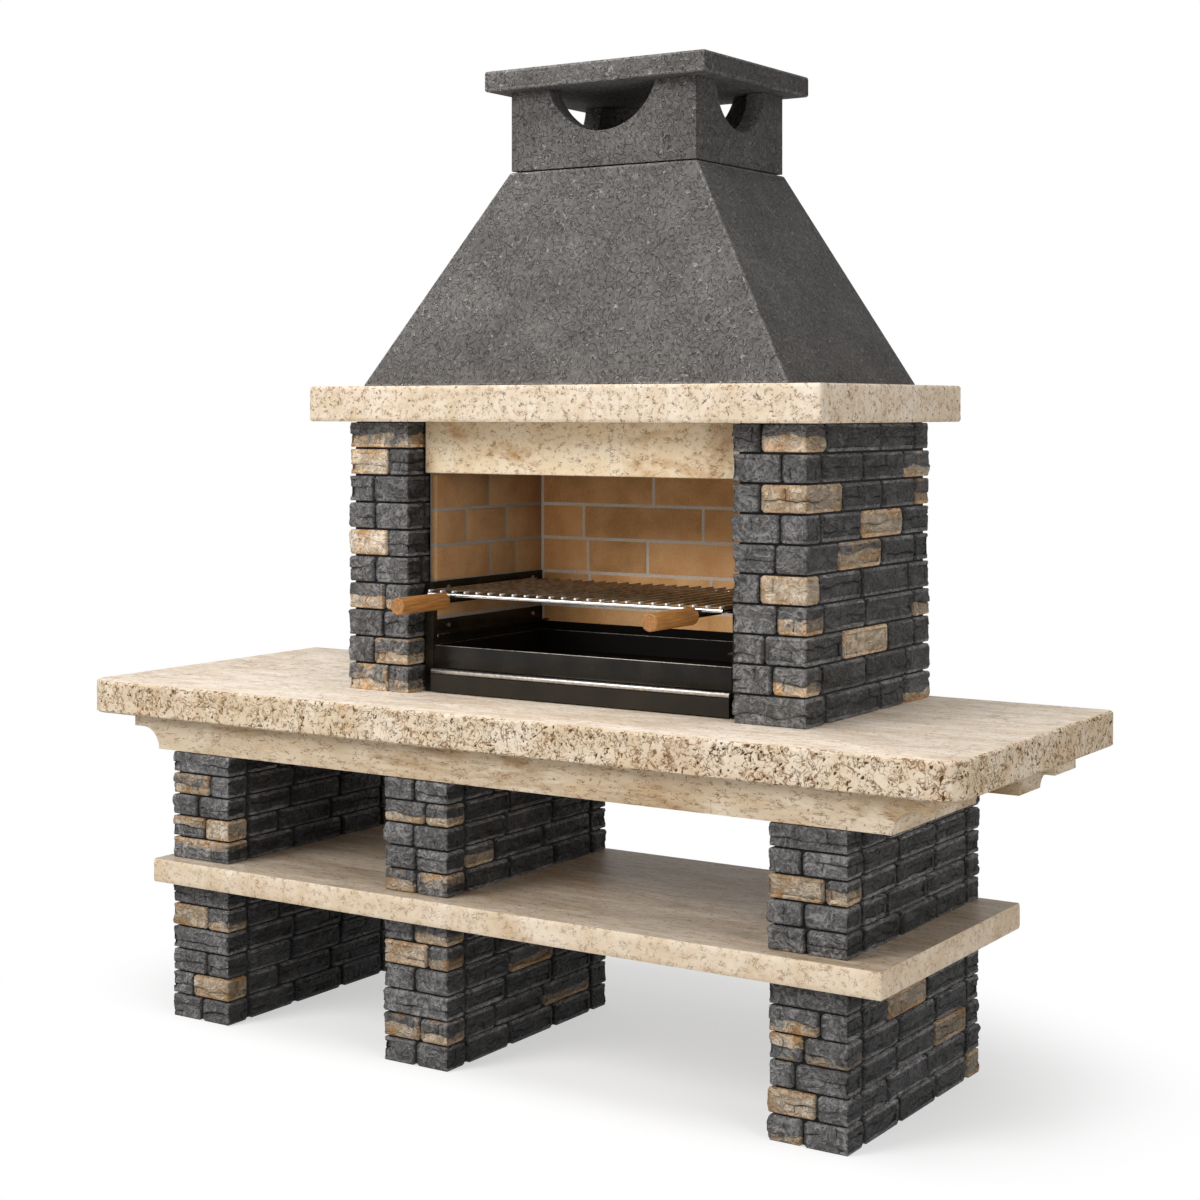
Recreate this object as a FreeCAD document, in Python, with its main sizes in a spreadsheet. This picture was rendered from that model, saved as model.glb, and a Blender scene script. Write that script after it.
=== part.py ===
import FreeCAD, Part
import math
import os
import re
import Sketcher

# Masonry barbecue: three stone piers, a lower shelf, two moulded bearer beams, a thick worktop,
# a stone firebox with a brick lining and a steel fire insert, a mantel, a hood and a vented chimney.
# Frame: +Z up, +X to the right, the front faces -Y, origin on the floor under the middle. Millimetres.

SIZES = {
    # Worktop slab
    "worktop_length": 2150,
    "worktop_depth": 800,
    "worktop_thick": 73,
    "worktop_front_corner": 55,
    "worktop_back_corner": 15,
    "worktop_arris": 6,
    # Piers under the worktop
    "pier_span": 1696,
    "pier_width": 178,
    "pier_depth": 620,
    "pier_setback": 32,
    "middle_pier_x": -154,
    "lower_pier_height": 305,
    "lower_pier_courses": 6,
    "upper_pier_height": 239,
    "upper_pier_courses": 5,
    "stone_arris": 6,
    # Lower shelf slab
    "shelf_thick": 51,
    "shelf_left_overhang": 18,
    "shelf_right_overhang": 80,
    "shelf_front_overhang": 30,
    "shelf_arris": 3,
    # Bearer beams between the piers and the worktop
    "beam_height": 75,
    "front_beam_depth": 380,
    "rear_beam_depth": 112,
    "beam_gap": 120,
    "beam_front_inset": 8,
    "beam_left_overhang": 112,
    "beam_right_overhang": 157,
    "rear_beam_right_overhang": 197,
    "beam_fillet": 28,
    "beam_ledge": 28,
    # Firebox of stone walls and a plain back panel
    "firebox_x": 101,
    "firebox_width": 1152,
    "firebox_depth": 585,
    "firebox_height": 592,
    "firebox_setback": 198,
    "firebox_wall": 177,
    "firebox_courses": 10,
    "back_panel_thick": 80,
    # Brick lining on a mortar bed
    "lining_setback": 76,
    "lining_courses": 6,
    "mortar_bed": 5,
    "brick_thick": 15,
    "brick_joint": 6,
    # Lintel and mantel
    "lintel_setback": 62,
    "lintel_height": 113,
    "lintel_thick": 60,
    "mantel_thick": 77,
    "mantel_side_overhang": 58,
    "mantel_front_overhang": 54,
    "mantel_back_overhang": 17,
    "mantel_arris": 4,
    # Hood, collar and cap
    "hood_width": 1062,
    "hood_front_inset": 61,
    "hood_back_inset": 5,
    "hood_height": 467,
    "hood_wall": 40,
    "hood_rim": 3,
    "collar_width": 469,
    "collar_depth": 378,
    "collar_height": 176,
    "collar_wall": 45,
    "collar_back_inset": 66,
    "front_vent_radius": 143,
    "side_vent_radius": 106,
    "vent_drop": 98,
    "cap_overhang_x": 45,
    "cap_overhang_y": 41,
    "cap_thick": 45,
    "cap_arris": 5,
    # Steel fire insert
    "sheet_steel": 3,
    "insert_gap": 2,
    "post_width": 22,
    "post_depth": 14,
    "post_height": 241,
    "cheek_height": 125,
    "cheek_chamfer": 12,
    "rear_plate_height": 122,
    "rail_leg": 32,
    "rail_seat": 22,
    "upper_rail_z": 209,
    "screw_head_radius": 5,
    "screw_head_thick": 2.5,
    "screw_inset": 40,
    # Ash drawer and charcoal tray
    "drawer_runner": 3,
    "runner_width": 20,
    "drawer_height": 36,
    "drawer_front_thick": 12,
    "drawer_front_height": 38,
    "pull_height": 11,
    "pull_depth": 18,
    "tray_gap": 2,
    "tray_height": 49,
    # Cooking grill with two wooden grips
    "grill_side_gap": 7,
    "grill_front_reach": 25,
    "grill_back_gap": 45,
    "frame_rod_radius": 4.5,
    "grill_rod_radius": 2.5,
    "grill_rod_count": 24,
    "weld_gap": 0.2,
    "handle_inset": 54.5,
    "tang_radius": 6,
    "tang_back_reach": 90,
    "tang_seat": 60,
    "grip_radius": 18,
    "grip_length": 160,
    "grip_start": 25,
    "grip_nose": 6,
    "grip_bore_gap": 0.1,
}

# Where the front pair of stones meets, as a share of the width, from the bottom course up.
# A course with 0 has a single stone across its front.
LEFT_LOWER_SPLITS = [0.52, 0.38, 0.6, 0, 0.62, 0]
MIDDLE_LOWER_SPLITS = [0.5, 0.57, 0, 0.48, 0.67, 0.47]
RIGHT_LOWER_SPLITS = [0.45, 0.6, 0.35, 0.45, 0.64, 0]
LEFT_UPPER_SPLITS = [0, 0.58, 0.45, 0.65, 0]
MIDDLE_UPPER_SPLITS = [0.5, 0.5, 0.46, 0.63, 0.47]
RIGHT_UPPER_SPLITS = [0.48, 0.45, 0.7, 0.43, 0]
LEFT_WALL_SPLITS = [0.65, 0.43, 0.57, 0.6, 0.44, 0.65, 0.44, 0.42, 0.65, 0]
RIGHT_WALL_SPLITS = [0, 0.53, 0.44, 0.59, 0.38, 0.57, 0.63, 0.39, 0.65, 0.39]

# How stones and bricks share out their course, as shares of its length. Courses take turns.
STONE_RUNS = [(0.30, 0.40, 0.30), (0.42, 0.22, 0.36), (0.24, 0.44, 0.32)]
SIDE_BRICK_RUNS = [(0.58, 0.42), (0.30, 0.70)]
BACK_BRICK_RUNS = [(0.28, 0.29, 0.29, 0.14), (0.14, 0.29, 0.29, 0.28)]

BOX_EDGES = range(1, 13)
SCREW_SIDES = 6
GRILL_ROD_SIDES = 10

doc = FreeCAD.newDocument("masonry_barbecue")
sheet = doc.addObject("Spreadsheet::Sheet", "Size")
for row, (alias, value) in enumerate(SIZES.items(), start=1):
    sheet.set(f"A{row}", alias)
    sheet.set(f"B{row}", str(value))
    sheet.setAlias(f"B{row}", alias)
doc.recompute()

nodes = []


def cells(text):
    """Points every size named in an expression at its cell in the sheet."""
    return re.sub(r"[a-z_]+", lambda word: f"Size.{word[0]}" if word[0] in SIZES else word[0], text)


def number(text):
    """The present value of an expression."""
    return float(sheet.evalExpression(cells(text)))


def bind(piece, expressions):
    for prop, text in expressions.items():
        piece.setExpression(prop, cells(text))


def place(piece, x, y, z):
    bind(piece, {"Placement.Base.x": x, "Placement.Base.y": y, "Placement.Base.z": z})


def node(piece, label):
    """Marks a finished piece: its label is the name of its file."""
    piece.Label = label
    nodes.append(piece)
    return piece


def box(name, x, y, z, length, width, height):
    """A box from its lowest corner and its three sizes."""
    piece = doc.addObject("Part::Box", name)
    bind(piece, {"Length": length, "Width": width, "Height": height})
    place(piece, x, y, z)
    return piece


def rod(name, start, radius, length, direction):
    """A round bar from the middle of one end, along a direction."""
    piece = doc.addObject("Part::Cylinder", name)
    piece.Placement.Rotation = FreeCAD.Rotation(FreeCAD.Vector(0, 0, 1), direction)
    bind(piece, {"Radius": radius, "Height": length})
    place(piece, *start)
    return piece


def faceted_rod(name, start, radius, length, direction, sides):
    """A bar with flat sides, for what repeats often or is six-sided."""
    piece = doc.addObject("Part::Prism", name)
    piece.Polygon = sides
    piece.Placement.Rotation = FreeCAD.Rotation(FreeCAD.Vector(0, 0, 1), direction)
    bind(piece, {"Circumradius": radius, "Height": length})
    place(piece, *start)
    return piece


def chamfered(base, edges, size):
    piece = doc.addObject("Part::Chamfer", base.Name + "_chamfered")
    piece.Base = base
    piece.Edges = [(edge, number(size), number(size)) for edge in edges]
    return piece


def cut(name, base, tool):
    piece = doc.addObject("Part::Cut", name)
    piece.Base = base
    piece.Tool = tool
    return piece


def joined(name, pieces):
    piece = doc.addObject("Part::MultiFuse", name)
    piece.Shapes = pieces
    return piece


def group(label, pieces):
    """Separate solids that share one node."""
    piece = doc.addObject("Part::Compound", label)
    piece.Links = pieces
    return node(piece, label)


def new_sketch(body, role):
    sketch = body.newObject("Sketcher::SketchObject", body.Name + "_outline")
    plane = next(feature for feature in body.Origin.OriginFeatures if feature.Role == role)
    sketch.AttachmentSupport = [(plane, "")]
    sketch.MapMode = "FlatFace"
    return sketch


def pin(sketch, geometry, point, x, y):
    """Holds a sketch point at two expressions, measured from the sketch's origin."""
    for kind, text, axis in (("DistanceX", x, -2), ("DistanceY", y, -1)):
        if text == "0":
            sketch.addConstraint(Sketcher.Constraint("PointOnObject", geometry, point, axis))
        elif text:
            index = sketch.addConstraint(
                Sketcher.Constraint(kind, -1, 1, geometry, point, number(text)))
            sketch.setExpression(f"Constraints[{index}]", cells(text))


def outline(sketch, corners):
    """A closed outline of straight sides, each corner held at its own two expressions."""
    points = [FreeCAD.Vector(number(x), number(y), 0) for x, y in corners]
    for index, point in enumerate(points):
        sketch.addGeometry(Part.LineSegment(point, points[(index + 1) % len(points)]), False)
    for index in range(len(points)):
        after = (index + 1) % len(points)
        sketch.addConstraint(Sketcher.Constraint("Coincident", index, 2, after, 1))
    for index, (x, y) in enumerate(corners):
        pin(sketch, index, 1, x, y)


def edges_where(shape, test):
    return [f"Edge{index}" for index, edge in enumerate(shape.Edges, start=1) if test(edge)]


# Levels and planes that several pieces share
pier_front = "(-worktop_depth / 2 + pier_setback)"
pier_back = f"({pier_front} + pier_depth)"
shelf_bottom = "lower_pier_height"
shelf_top = "(lower_pier_height + shelf_thick)"
beam_bottom = f"({shelf_top} + upper_pier_height)"
worktop_bottom = f"({beam_bottom} + beam_height)"
worktop_top = f"({worktop_bottom} + worktop_thick)"
firebox_front = "(-worktop_depth / 2 + firebox_setback)"
firebox_back = f"({firebox_front} + firebox_depth)"
opening_left = "(firebox_x - firebox_width / 2 + firebox_wall)"
opening_right = "(firebox_x + firebox_width / 2 - firebox_wall)"
opening_width = "(firebox_width - 2 * firebox_wall)"
lining_thick = "(mortar_bed + brick_thick)"
lining_front = f"({firebox_front} + lining_setback)"
lining_height = "(firebox_height - lintel_height)"
panel_face = f"({firebox_back} - back_panel_thick)"
back_lining_face = f"({panel_face} - {lining_thick})"
lining_left = f"({opening_left} + {lining_thick})"
lining_right = f"({opening_right} - {lining_thick})"
mantel_bottom = f"({worktop_top} + firebox_height)"
mantel_top = f"({mantel_bottom} + mantel_thick)"
mantel_front = f"({firebox_front} - mantel_front_overhang)"
mantel_back = f"({firebox_back} + mantel_back_overhang)"
hood_front = f"({mantel_front} + hood_front_inset)"
hood_back = f"({mantel_back} - hood_back_inset)"
hood_top = f"({mantel_top} + hood_height)"
collar_back = f"({mantel_back} - collar_back_inset)"
collar_front = f"({collar_back} - collar_depth)"
collar_top = f"({hood_top} + collar_height)"


# Stone piers and firebox walls: courses of dry-laid stones with broken arrises
def stone_pier(label, left, front, bottom, width, depth, height, courses, splits):
    stones = []
    rise = f"({height} / {courses})"
    for course in range(int(number(courses))):
        split = splits[course % len(splits)]
        runs = STONE_RUNS[course % len(STONE_RUNS)]
        level = f"{bottom} + {course} * {rise}"
        behind = 0
        for turn, run in enumerate(runs):
            shares = (split, 1 - split) if split and turn == 0 else (1,)
            beside = 0
            for share in shares:
                x = f"{left} + {beside} * {width}"
                y = f"{front} + {behind} * {depth}"
                stone = box(f"{label}_stone", x, y, level, f"{share} * {width}", f"{run} * {depth}", rise)
                stones.append(chamfered(stone, BOX_EDGES, "stone_arris"))
                beside += share
            behind = round(behind + run, 3)
    return group(label, stones)


PIER_LEFTS = {
    "left": "-pier_span / 2",
    "middle": "middle_pier_x - pier_width / 2",
    "right": "pier_span / 2 - pier_width",
}
LOWER_SPLITS = {"left": LEFT_LOWER_SPLITS, "middle": MIDDLE_LOWER_SPLITS, "right": RIGHT_LOWER_SPLITS}
UPPER_SPLITS = {"left": LEFT_UPPER_SPLITS, "middle": MIDDLE_UPPER_SPLITS, "right": RIGHT_UPPER_SPLITS}
for side, pier_left in PIER_LEFTS.items():
    stone_pier(f"{side}_lower_pier", pier_left, pier_front, "0", "pier_width", "pier_depth",
               "lower_pier_height", "lower_pier_courses", LOWER_SPLITS[side])
    stone_pier(f"{side}_upper_pier", pier_left, pier_front, shelf_top, "pier_width", "pier_depth",
               "upper_pier_height", "upper_pier_courses", UPPER_SPLITS[side])

WALL_LEFTS = {"left": "firebox_x - firebox_width / 2", "right": opening_right}
WALL_SPLITS = {"left": LEFT_WALL_SPLITS, "right": RIGHT_WALL_SPLITS}
for side, wall_left in WALL_LEFTS.items():
    stone_pier(f"firebox_{side}_wall", wall_left, firebox_front, worktop_top, "firebox_wall",
               "firebox_depth", "firebox_height", "firebox_courses", WALL_SPLITS[side])

# Lower shelf slab, through the piers from side to side
shelf = box("shelf_block", "-pier_span / 2 - shelf_left_overhang", f"{pier_front} - shelf_front_overhang",
            shelf_bottom, "pier_span + shelf_left_overhang + shelf_right_overhang",
            "pier_depth + shelf_front_overhang", "shelf_thick")
node(chamfered(shelf, BOX_EDGES, "shelf_arris"), "shelf_slab")


# Bearer beams: the ends are moulded with a fillet, a ledge and a cove
def bearer_beam(label, back, depth, right_overhang):
    body = doc.addObject("PartDesign::Body", label)
    sketch = new_sketch(body, "XZ_Plane")
    half = f"(pier_span + beam_left_overhang + {right_overhang}) / 2"
    top = "beam_height / 2"
    bottom = "-beam_height / 2"
    ledge_level = "(beam_height / 2 - beam_fillet)"
    ledge_end = f"({half} - beam_ledge)"
    cove_end = f"({ledge_end} - (beam_height - beam_fillet))"
    corners = [(f"-({half})", top), (half, top), (half, ledge_level), (ledge_end, ledge_level),
               (cove_end, bottom), (f"-{cove_end}", bottom), (f"-{ledge_end}", ledge_level),
               (f"-({half})", ledge_level)]
    points = [FreeCAD.Vector(number(x), number(y), 0) for x, y in corners]
    cove_radius = number("beam_height - beam_fillet")
    coves = {3: (ledge_end, 90, 180), 5: (f"-{ledge_end}", 0, 90)}
    for index, point in enumerate(points):
        if index in coves:
            centre, first, last = coves[index]
            circle = Part.Circle(FreeCAD.Vector(number(centre), number(bottom), 0),
                                 FreeCAD.Vector(0, 0, 1), cove_radius)
            sketch.addGeometry(Part.ArcOfCircle(circle, math.radians(first), math.radians(last)), False)
        else:
            sketch.addGeometry(Part.LineSegment(point, points[(index + 1) % len(points)]), False)
    for index in range(len(corners)):
        after = (index + 1) % len(corners)
        sketch.addConstraint(Sketcher.Constraint("Coincident", index, 2, after, 1))
    # The foot of each cove is free along X: its arc settles where it meets the bottom
    for index, (x, y) in enumerate(corners):
        pin(sketch, index, 1, "" if index in (4, 5) else x, y)
    for index, (centre, _, _) in coves.items():
        pin(sketch, index, 3, centre, bottom)
    pad = body.newObject("PartDesign::Pad", body.Name + "_length")
    pad.Profile = sketch
    bind(pad, {"Length": depth})
    place(body, f"({right_overhang} - beam_left_overhang) / 2", back, f"{beam_bottom} + beam_height / 2")
    return node(body, label)


front_beam_back = f"({pier_front} + beam_front_inset + front_beam_depth)"
rear_beam_back = f"{front_beam_back} + beam_gap + rear_beam_depth"
bearer_beam("front_beam", front_beam_back, "front_beam_depth", "beam_right_overhang")
bearer_beam("rear_beam", rear_beam_back, "rear_beam_depth", "rear_beam_right_overhang")

# Worktop slab with round front corners and softened arrises
worktop = doc.addObject("PartDesign::Body", "worktop_slab")
worktop_plan = new_sketch(worktop, "XY_Plane")
half_length = "worktop_length / 2"
half_depth = "worktop_depth / 2"
outline(worktop_plan, [(f"-{half_length}", f"-{half_depth}"), (half_length, f"-{half_depth}"),
                       (half_length, half_depth), (f"-{half_length}", half_depth)])
worktop_pad = worktop.newObject("PartDesign::Pad", "worktop_pad")
worktop_pad.Profile = worktop_plan
bind(worktop_pad, {"Length": "worktop_thick"})
doc.recompute()


def is_upright(edge):
    return edge.BoundBox.ZLength > number("worktop_thick") / 2


def rounded(name, base, test, radius):
    fillet = worktop.newObject("PartDesign::Fillet", name)
    fillet.Base = (base, edges_where(base.Shape, test))
    bind(fillet, {"Radius": radius})
    doc.recompute()
    return fillet


def is_back_corner(edge):
    return is_upright(edge) and edge.CenterOfMass.y > number(half_depth) - 1


front_corners = rounded("front_corners", worktop_pad,
                        lambda edge: is_upright(edge) and edge.CenterOfMass.y < 0, "worktop_front_corner")
back_corners = rounded("back_corners", front_corners, is_back_corner, "worktop_back_corner")
arrises = worktop.newObject("PartDesign::Chamfer", "worktop_arrises")
arrises.Base = (back_corners, edges_where(back_corners.Shape, lambda edge: not is_upright(edge)))
bind(arrises, {"Size": "worktop_arris"})
place(worktop, "0", "0", worktop_bottom)
node(worktop, "worktop_slab")

# Back panel of the firebox, plain concrete between the two stone walls
node(box("back_panel", opening_left, panel_face, worktop_top, opening_width, "back_panel_thick",
         "firebox_height"), "back_panel")


# Brick lining: slips on a thin mortar bed, in running bond with open joints
def brick_rows(label, runs, length, brick):
    bricks = []
    rise = f"({lining_height} / lining_courses)"
    for course in range(int(number("lining_courses"))):
        along = 0
        shares = runs[course % len(runs)]
        for share in shares:
            start = f"{along} * {length} + brick_joint / 2"
            size = f"{share} * {length} - brick_joint"
            level = f"{worktop_top} + {course} * {rise} + brick_joint / 2"
            bricks.append(brick(f"{label}_brick", start, size, level, f"{rise} - brick_joint"))
            along = round(along + share, 3)
    return group(label, bricks)


side_lining_length = f"({back_lining_face} - {lining_front})"
BED_LEFTS = {"left": opening_left, "right": f"({opening_right} - mortar_bed)"}
BRICK_LEFTS = {"left": f"({opening_left} + mortar_bed)", "right": lining_right}
for side in ("left", "right"):
    node(box(f"{side}_mortar", BED_LEFTS[side], lining_front, worktop_top, "mortar_bed", side_lining_length,
             lining_height), f"{side}_mortar_bed")
    brick_rows(f"{side}_brick_lining", SIDE_BRICK_RUNS, side_lining_length,
               lambda name, start, size, level, height: box(
                   name, BRICK_LEFTS[side], f"{lining_front} + {start}", level, "brick_thick", size, height))
node(box("back_mortar", opening_left, f"{panel_face} - mortar_bed", worktop_top, opening_width, "mortar_bed",
         lining_height), "back_mortar_bed")
brick_rows("back_brick_lining", BACK_BRICK_RUNS, opening_width,
           lambda name, start, size, level, height: box(
               name, f"{opening_left} + {start}", back_lining_face, level, size, "brick_thick", height))

# Lintel panel across the top of the fire opening
node(box("lintel", opening_left, f"{firebox_front} + lintel_setback", f"{mantel_bottom} - lintel_height",
         opening_width, "lintel_thick", "lintel_height"), "lintel_panel")

# Mantel slab with the smoke throat cut through it, behind the lintel
throat_front = f"({firebox_front} + lintel_setback + lintel_thick)"
mantel_block = box("mantel_block", "firebox_x - firebox_width / 2 - mantel_side_overhang", mantel_front,
                   mantel_bottom, "firebox_width + 2 * mantel_side_overhang",
                   "mantel_front_overhang + firebox_depth + mantel_back_overhang", "mantel_thick")
throat = box("smoke_throat", opening_left, throat_front, mantel_bottom, opening_width,
             f"{back_lining_face} - {throat_front}", "mantel_thick")
node(cut("mantel_slab", chamfered(mantel_block, BOX_EDGES, "mantel_arris"), throat), "mantel_slab")


# Hood: a hollow pyramid that leans back to the chimney
def frustum(name, inset):
    piece = doc.addObject("Part::Wedge", name)
    bind(piece, {
        "Xmin": f"firebox_x - hood_width / 2 + {inset}", "Xmax": f"firebox_x + hood_width / 2 - {inset}",
        "X2min": f"firebox_x - collar_width / 2 - hood_rim + {inset}",
        "X2max": f"firebox_x + collar_width / 2 + hood_rim - {inset}",
        "Ymin": "0", "Ymax": "hood_height",
        "Zmin": f"-({hood_back} - {inset})", "Zmax": f"-({hood_front} + {inset})",
        "Z2min": f"-({collar_back} + hood_rim - {inset})",
        "Z2max": f"-({collar_front} - hood_rim + {inset})"})
    piece.Placement.Rotation = FreeCAD.Rotation(FreeCAD.Vector(1, 0, 0), 90)
    place(piece, "0", "0", mantel_top)
    return piece


node(cut("hood", frustum("hood_outside", "0"), frustum("hood_inside", "hood_wall")), "hood")

# Chimney collar with a half-moon vent cut down from the top of each side
collar_left = "(firebox_x - collar_width / 2)"
collar_block = box("collar_block", collar_left, collar_front, hood_top, "collar_width", "collar_depth",
                   "collar_height")
flue = box("flue", f"{collar_left} + collar_wall", f"{collar_front} + collar_wall", hood_top,
           "collar_width - 2 * collar_wall", "collar_depth - 2 * collar_wall", "collar_height")
ALONG_X = FreeCAD.Vector(1, 0, 0)
ALONG_Y = FreeCAD.Vector(0, 1, 0)
front_vent = rod("front_vent", ("firebox_x", collar_front, f"{collar_top} - vent_drop + front_vent_radius"),
                 "front_vent_radius", "collar_depth", ALONG_Y)
side_vent = rod("side_vent", (collar_left, f"{collar_front} + collar_depth / 2",
                              f"{collar_top} - vent_drop + side_vent_radius"),
                "side_vent_radius", "collar_width", ALONG_X)
collar_voids = joined("collar_voids", [flue, front_vent, side_vent])
node(cut("chimney_collar", collar_block, collar_voids), "chimney_collar")

# Cap slab over the vents
cap_block = box("cap_block", f"{collar_left} - cap_overhang_x", f"{collar_front} - cap_overhang_y",
                collar_top, "collar_width + 2 * cap_overhang_x", "collar_depth + 2 * cap_overhang_y",
                "cap_thick")
node(chamfered(cap_block, BOX_EDGES, "cap_arris"), "chimney_cap")

# Fire insert: uprights, cheeks and rear plate of black sheet steel, against the brick lining
insert_front = f"({lining_front} - post_depth)"
insert_depth = f"({back_lining_face} - {lining_front})"
cheek_left = f"({lining_left} + sheet_steel)"
cheek_right = f"({lining_right} - sheet_steel)"
post_side = f"({lining_thick} + sheet_steel - post_width)"


def front_post(label, left, leg_left):
    """An upright angle: one leg across the edge of the lining, the other beside the opening."""
    flange = box(label + "_flange", left, insert_front, worktop_top, "post_width", "sheet_steel",
                 "post_height")
    leg = box(label + "_leg", leg_left, insert_front, worktop_top, "sheet_steel", "post_depth",
              "post_height")
    return node(joined(label, [flange, leg]), label)


front_post("left_front_post", f"{opening_left} + {post_side}", lining_left)
front_post("right_front_post", cheek_right, cheek_right)


def cheek_plate(label, left):
    """A side plate with its upper front corner cut off."""
    body = doc.addObject("PartDesign::Body", label)
    sketch = new_sketch(body, "YZ_Plane")
    half = f"{insert_depth} / 2"
    tall = "cheek_height / 2"
    outline(sketch, [(f"-{half}", f"-{tall}"), (half, f"-{tall}"), (half, tall),
                     (f"-{half} + cheek_chamfer", tall), (f"-{half}", f"{tall} - cheek_chamfer")])
    pad = body.newObject("PartDesign::Pad", body.Name + "_sheet")
    pad.Profile = sketch
    bind(pad, {"Length": "sheet_steel"})
    place(body, left, f"{lining_front} + {half}", f"{worktop_top} + {tall}")
    return node(body, label)


cheek_plate("left_cheek_plate", lining_left)
cheek_plate("right_cheek_plate", cheek_right)
node(box("rear_sheet", cheek_left, f"{back_lining_face} - sheet_steel", worktop_top,
         f"{cheek_right} - {cheek_left}", "sheet_steel", "rear_plate_height"), "rear_plate")


# Grill rails: steel angles at two heights, the upright leg screwed through to the brickwork
def grill_rail(label, side, level):
    leg_left = {"left": lining_left, "right": cheek_right}[side]
    seat_left = {"left": cheek_left, "right": f"({cheek_right} - rail_seat + sheet_steel)"}[side]
    leg = box(label + "_leg", leg_left, lining_front, f"{worktop_top} + {level}", "sheet_steel",
              f"{insert_depth} - sheet_steel", "rail_leg")
    seat = box(label + "_seat", seat_left, lining_front, f"{worktop_top} + {level}",
               "rail_seat - sheet_steel", f"{insert_depth} - sheet_steel", "sheet_steel")
    return node(joined(label, [leg, seat]), label)


# The lower pair stands on the top edges of the cheeks
RAIL_LEVELS = {"upper": "upper_rail_z", "lower": "cheek_height"}
for level_name, level in RAIL_LEVELS.items():
    for side in ("left", "right"):
        grill_rail(f"{level_name}_{side}_rail", side, level)

SCREW_STARTS = {"left": cheek_left, "right": f"({cheek_right} - screw_head_thick)"}
screws = []
for level in RAIL_LEVELS.values():
    for side in ("left", "right"):
        for along in (f"{lining_front} + screw_inset", f"{back_lining_face} - sheet_steel - screw_inset"):
            height = f"{worktop_top} + {level} + sheet_steel + (rail_leg - sheet_steel) / 2"
            start = (SCREW_STARTS[side], along, height)
            screws.append(faceted_rod("rail_screw", start, "screw_head_radius", "screw_head_thick", ALONG_X,
                                      SCREW_SIDES))
group("rail_screws", screws)


# Runners: two flats on the worktop under the drawer, two angles on the cheeks under the tray
def runner_pair(label, level):
    lefts = {"left": cheek_left, "right": f"{cheek_right} - runner_width"}
    return group(label, [
        box(f"{label}_{side}", left, lining_front, level, "runner_width",
            f"{insert_depth} - sheet_steel", "drawer_runner") for side, left in lefts.items()])


runner_pair("drawer_runners", worktop_top)
drawer_level = f"({worktop_top} + drawer_runner)"
pull_level = f"({drawer_level} + drawer_front_height)"
tray_level = f"({pull_level} + pull_height + tray_gap)"
runner_pair("tray_runners", f"{tray_level} - drawer_runner")


# Open pans folded from sheet: the ash drawer and the charcoal tray above it
def pan(label, front, level, height):
    left = f"({cheek_left} + insert_gap)"
    width = f"({cheek_right} - {cheek_left} - 2 * insert_gap)"
    depth = f"({back_lining_face} - sheet_steel - insert_gap - {front})"
    outside = box(label + "_outside", left, front, level, width, depth, height)
    inside = box(label + "_inside", f"{left} + sheet_steel", f"{front} + sheet_steel",
                 f"{level} + sheet_steel", f"{width} - 2 * sheet_steel", f"{depth} - 2 * sheet_steel", height)
    return node(cut(label, outside, inside), label)


front_left = f"({cheek_left} + insert_gap)"
front_width = f"({cheek_right} - {cheek_left} - 2 * insert_gap)"
pan("ash_drawer", insert_front, drawer_level, "drawer_height")
pan("charcoal_tray", insert_front, tray_level, "tray_height")
drawer_front = box("drawer_front_block", front_left, f"{insert_front} - drawer_front_thick", drawer_level,
                   front_width, "drawer_front_thick", "drawer_front_height")
node(drawer_front, "drawer_front")
node(box("drawer_pull_strip", front_left, f"{insert_front} - drawer_front_thick",
         pull_level, front_width, "pull_depth", "pull_height"), "drawer_pull")

# Cooking grill: a rod frame on the upper rails, with thin rods welded across it from front to back
frame_z = f"({worktop_top} + upper_rail_z + sheet_steel + weld_gap + frame_rod_radius)"
frame_left = f"({cheek_left} + grill_side_gap + frame_rod_radius)"
frame_right = f"({cheek_right} - grill_side_gap - frame_rod_radius)"
frame_front = f"({insert_front} - grill_front_reach)"
frame_back = f"({back_lining_face} - sheet_steel - grill_back_gap)"
frame_depth = f"({frame_back} - {frame_front})"
frame_width = f"({frame_right} - {frame_left})"
frame_rods = [
    rod("frame_front_rod", (f"{frame_left} - frame_rod_radius", frame_front, frame_z), "frame_rod_radius",
        f"{frame_width} + 2 * frame_rod_radius", ALONG_X),
    rod("frame_back_rod", (f"{frame_left} - frame_rod_radius", frame_back, frame_z), "frame_rod_radius",
        f"{frame_width} + 2 * frame_rod_radius", ALONG_X),
    rod("frame_left_rod", (frame_left, frame_front, frame_z), "frame_rod_radius", frame_depth, ALONG_Y),
    rod("frame_right_rod", (frame_right, frame_front, frame_z), "frame_rod_radius", frame_depth, ALONG_Y)]
node(joined("grill_frame", frame_rods), "grill_frame")

rod_z = f"({frame_z} + frame_rod_radius + weld_gap + grill_rod_radius)"
grill_rods = []
for index in range(int(number("grill_rod_count"))):
    step = f"{frame_width} * {index} / (grill_rod_count - 1)"
    start = (f"{frame_left} + {step}", f"{frame_front} - frame_rod_radius", rod_z)
    grill_rods.append(faceted_rod("grill_rod", start, "grill_rod_radius",
                                  f"{frame_depth} + 2 * frame_rod_radius", ALONG_Y, GRILL_ROD_SIDES))
group("grill_rods", grill_rods)

# Handles: a steel tang welded under the front of the grill, and a turned wooden grip driven onto it
tang_z = f"({frame_z} - frame_rod_radius - weld_gap - tang_radius)"
grip_back = f"({frame_front} - grip_start)"


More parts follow.
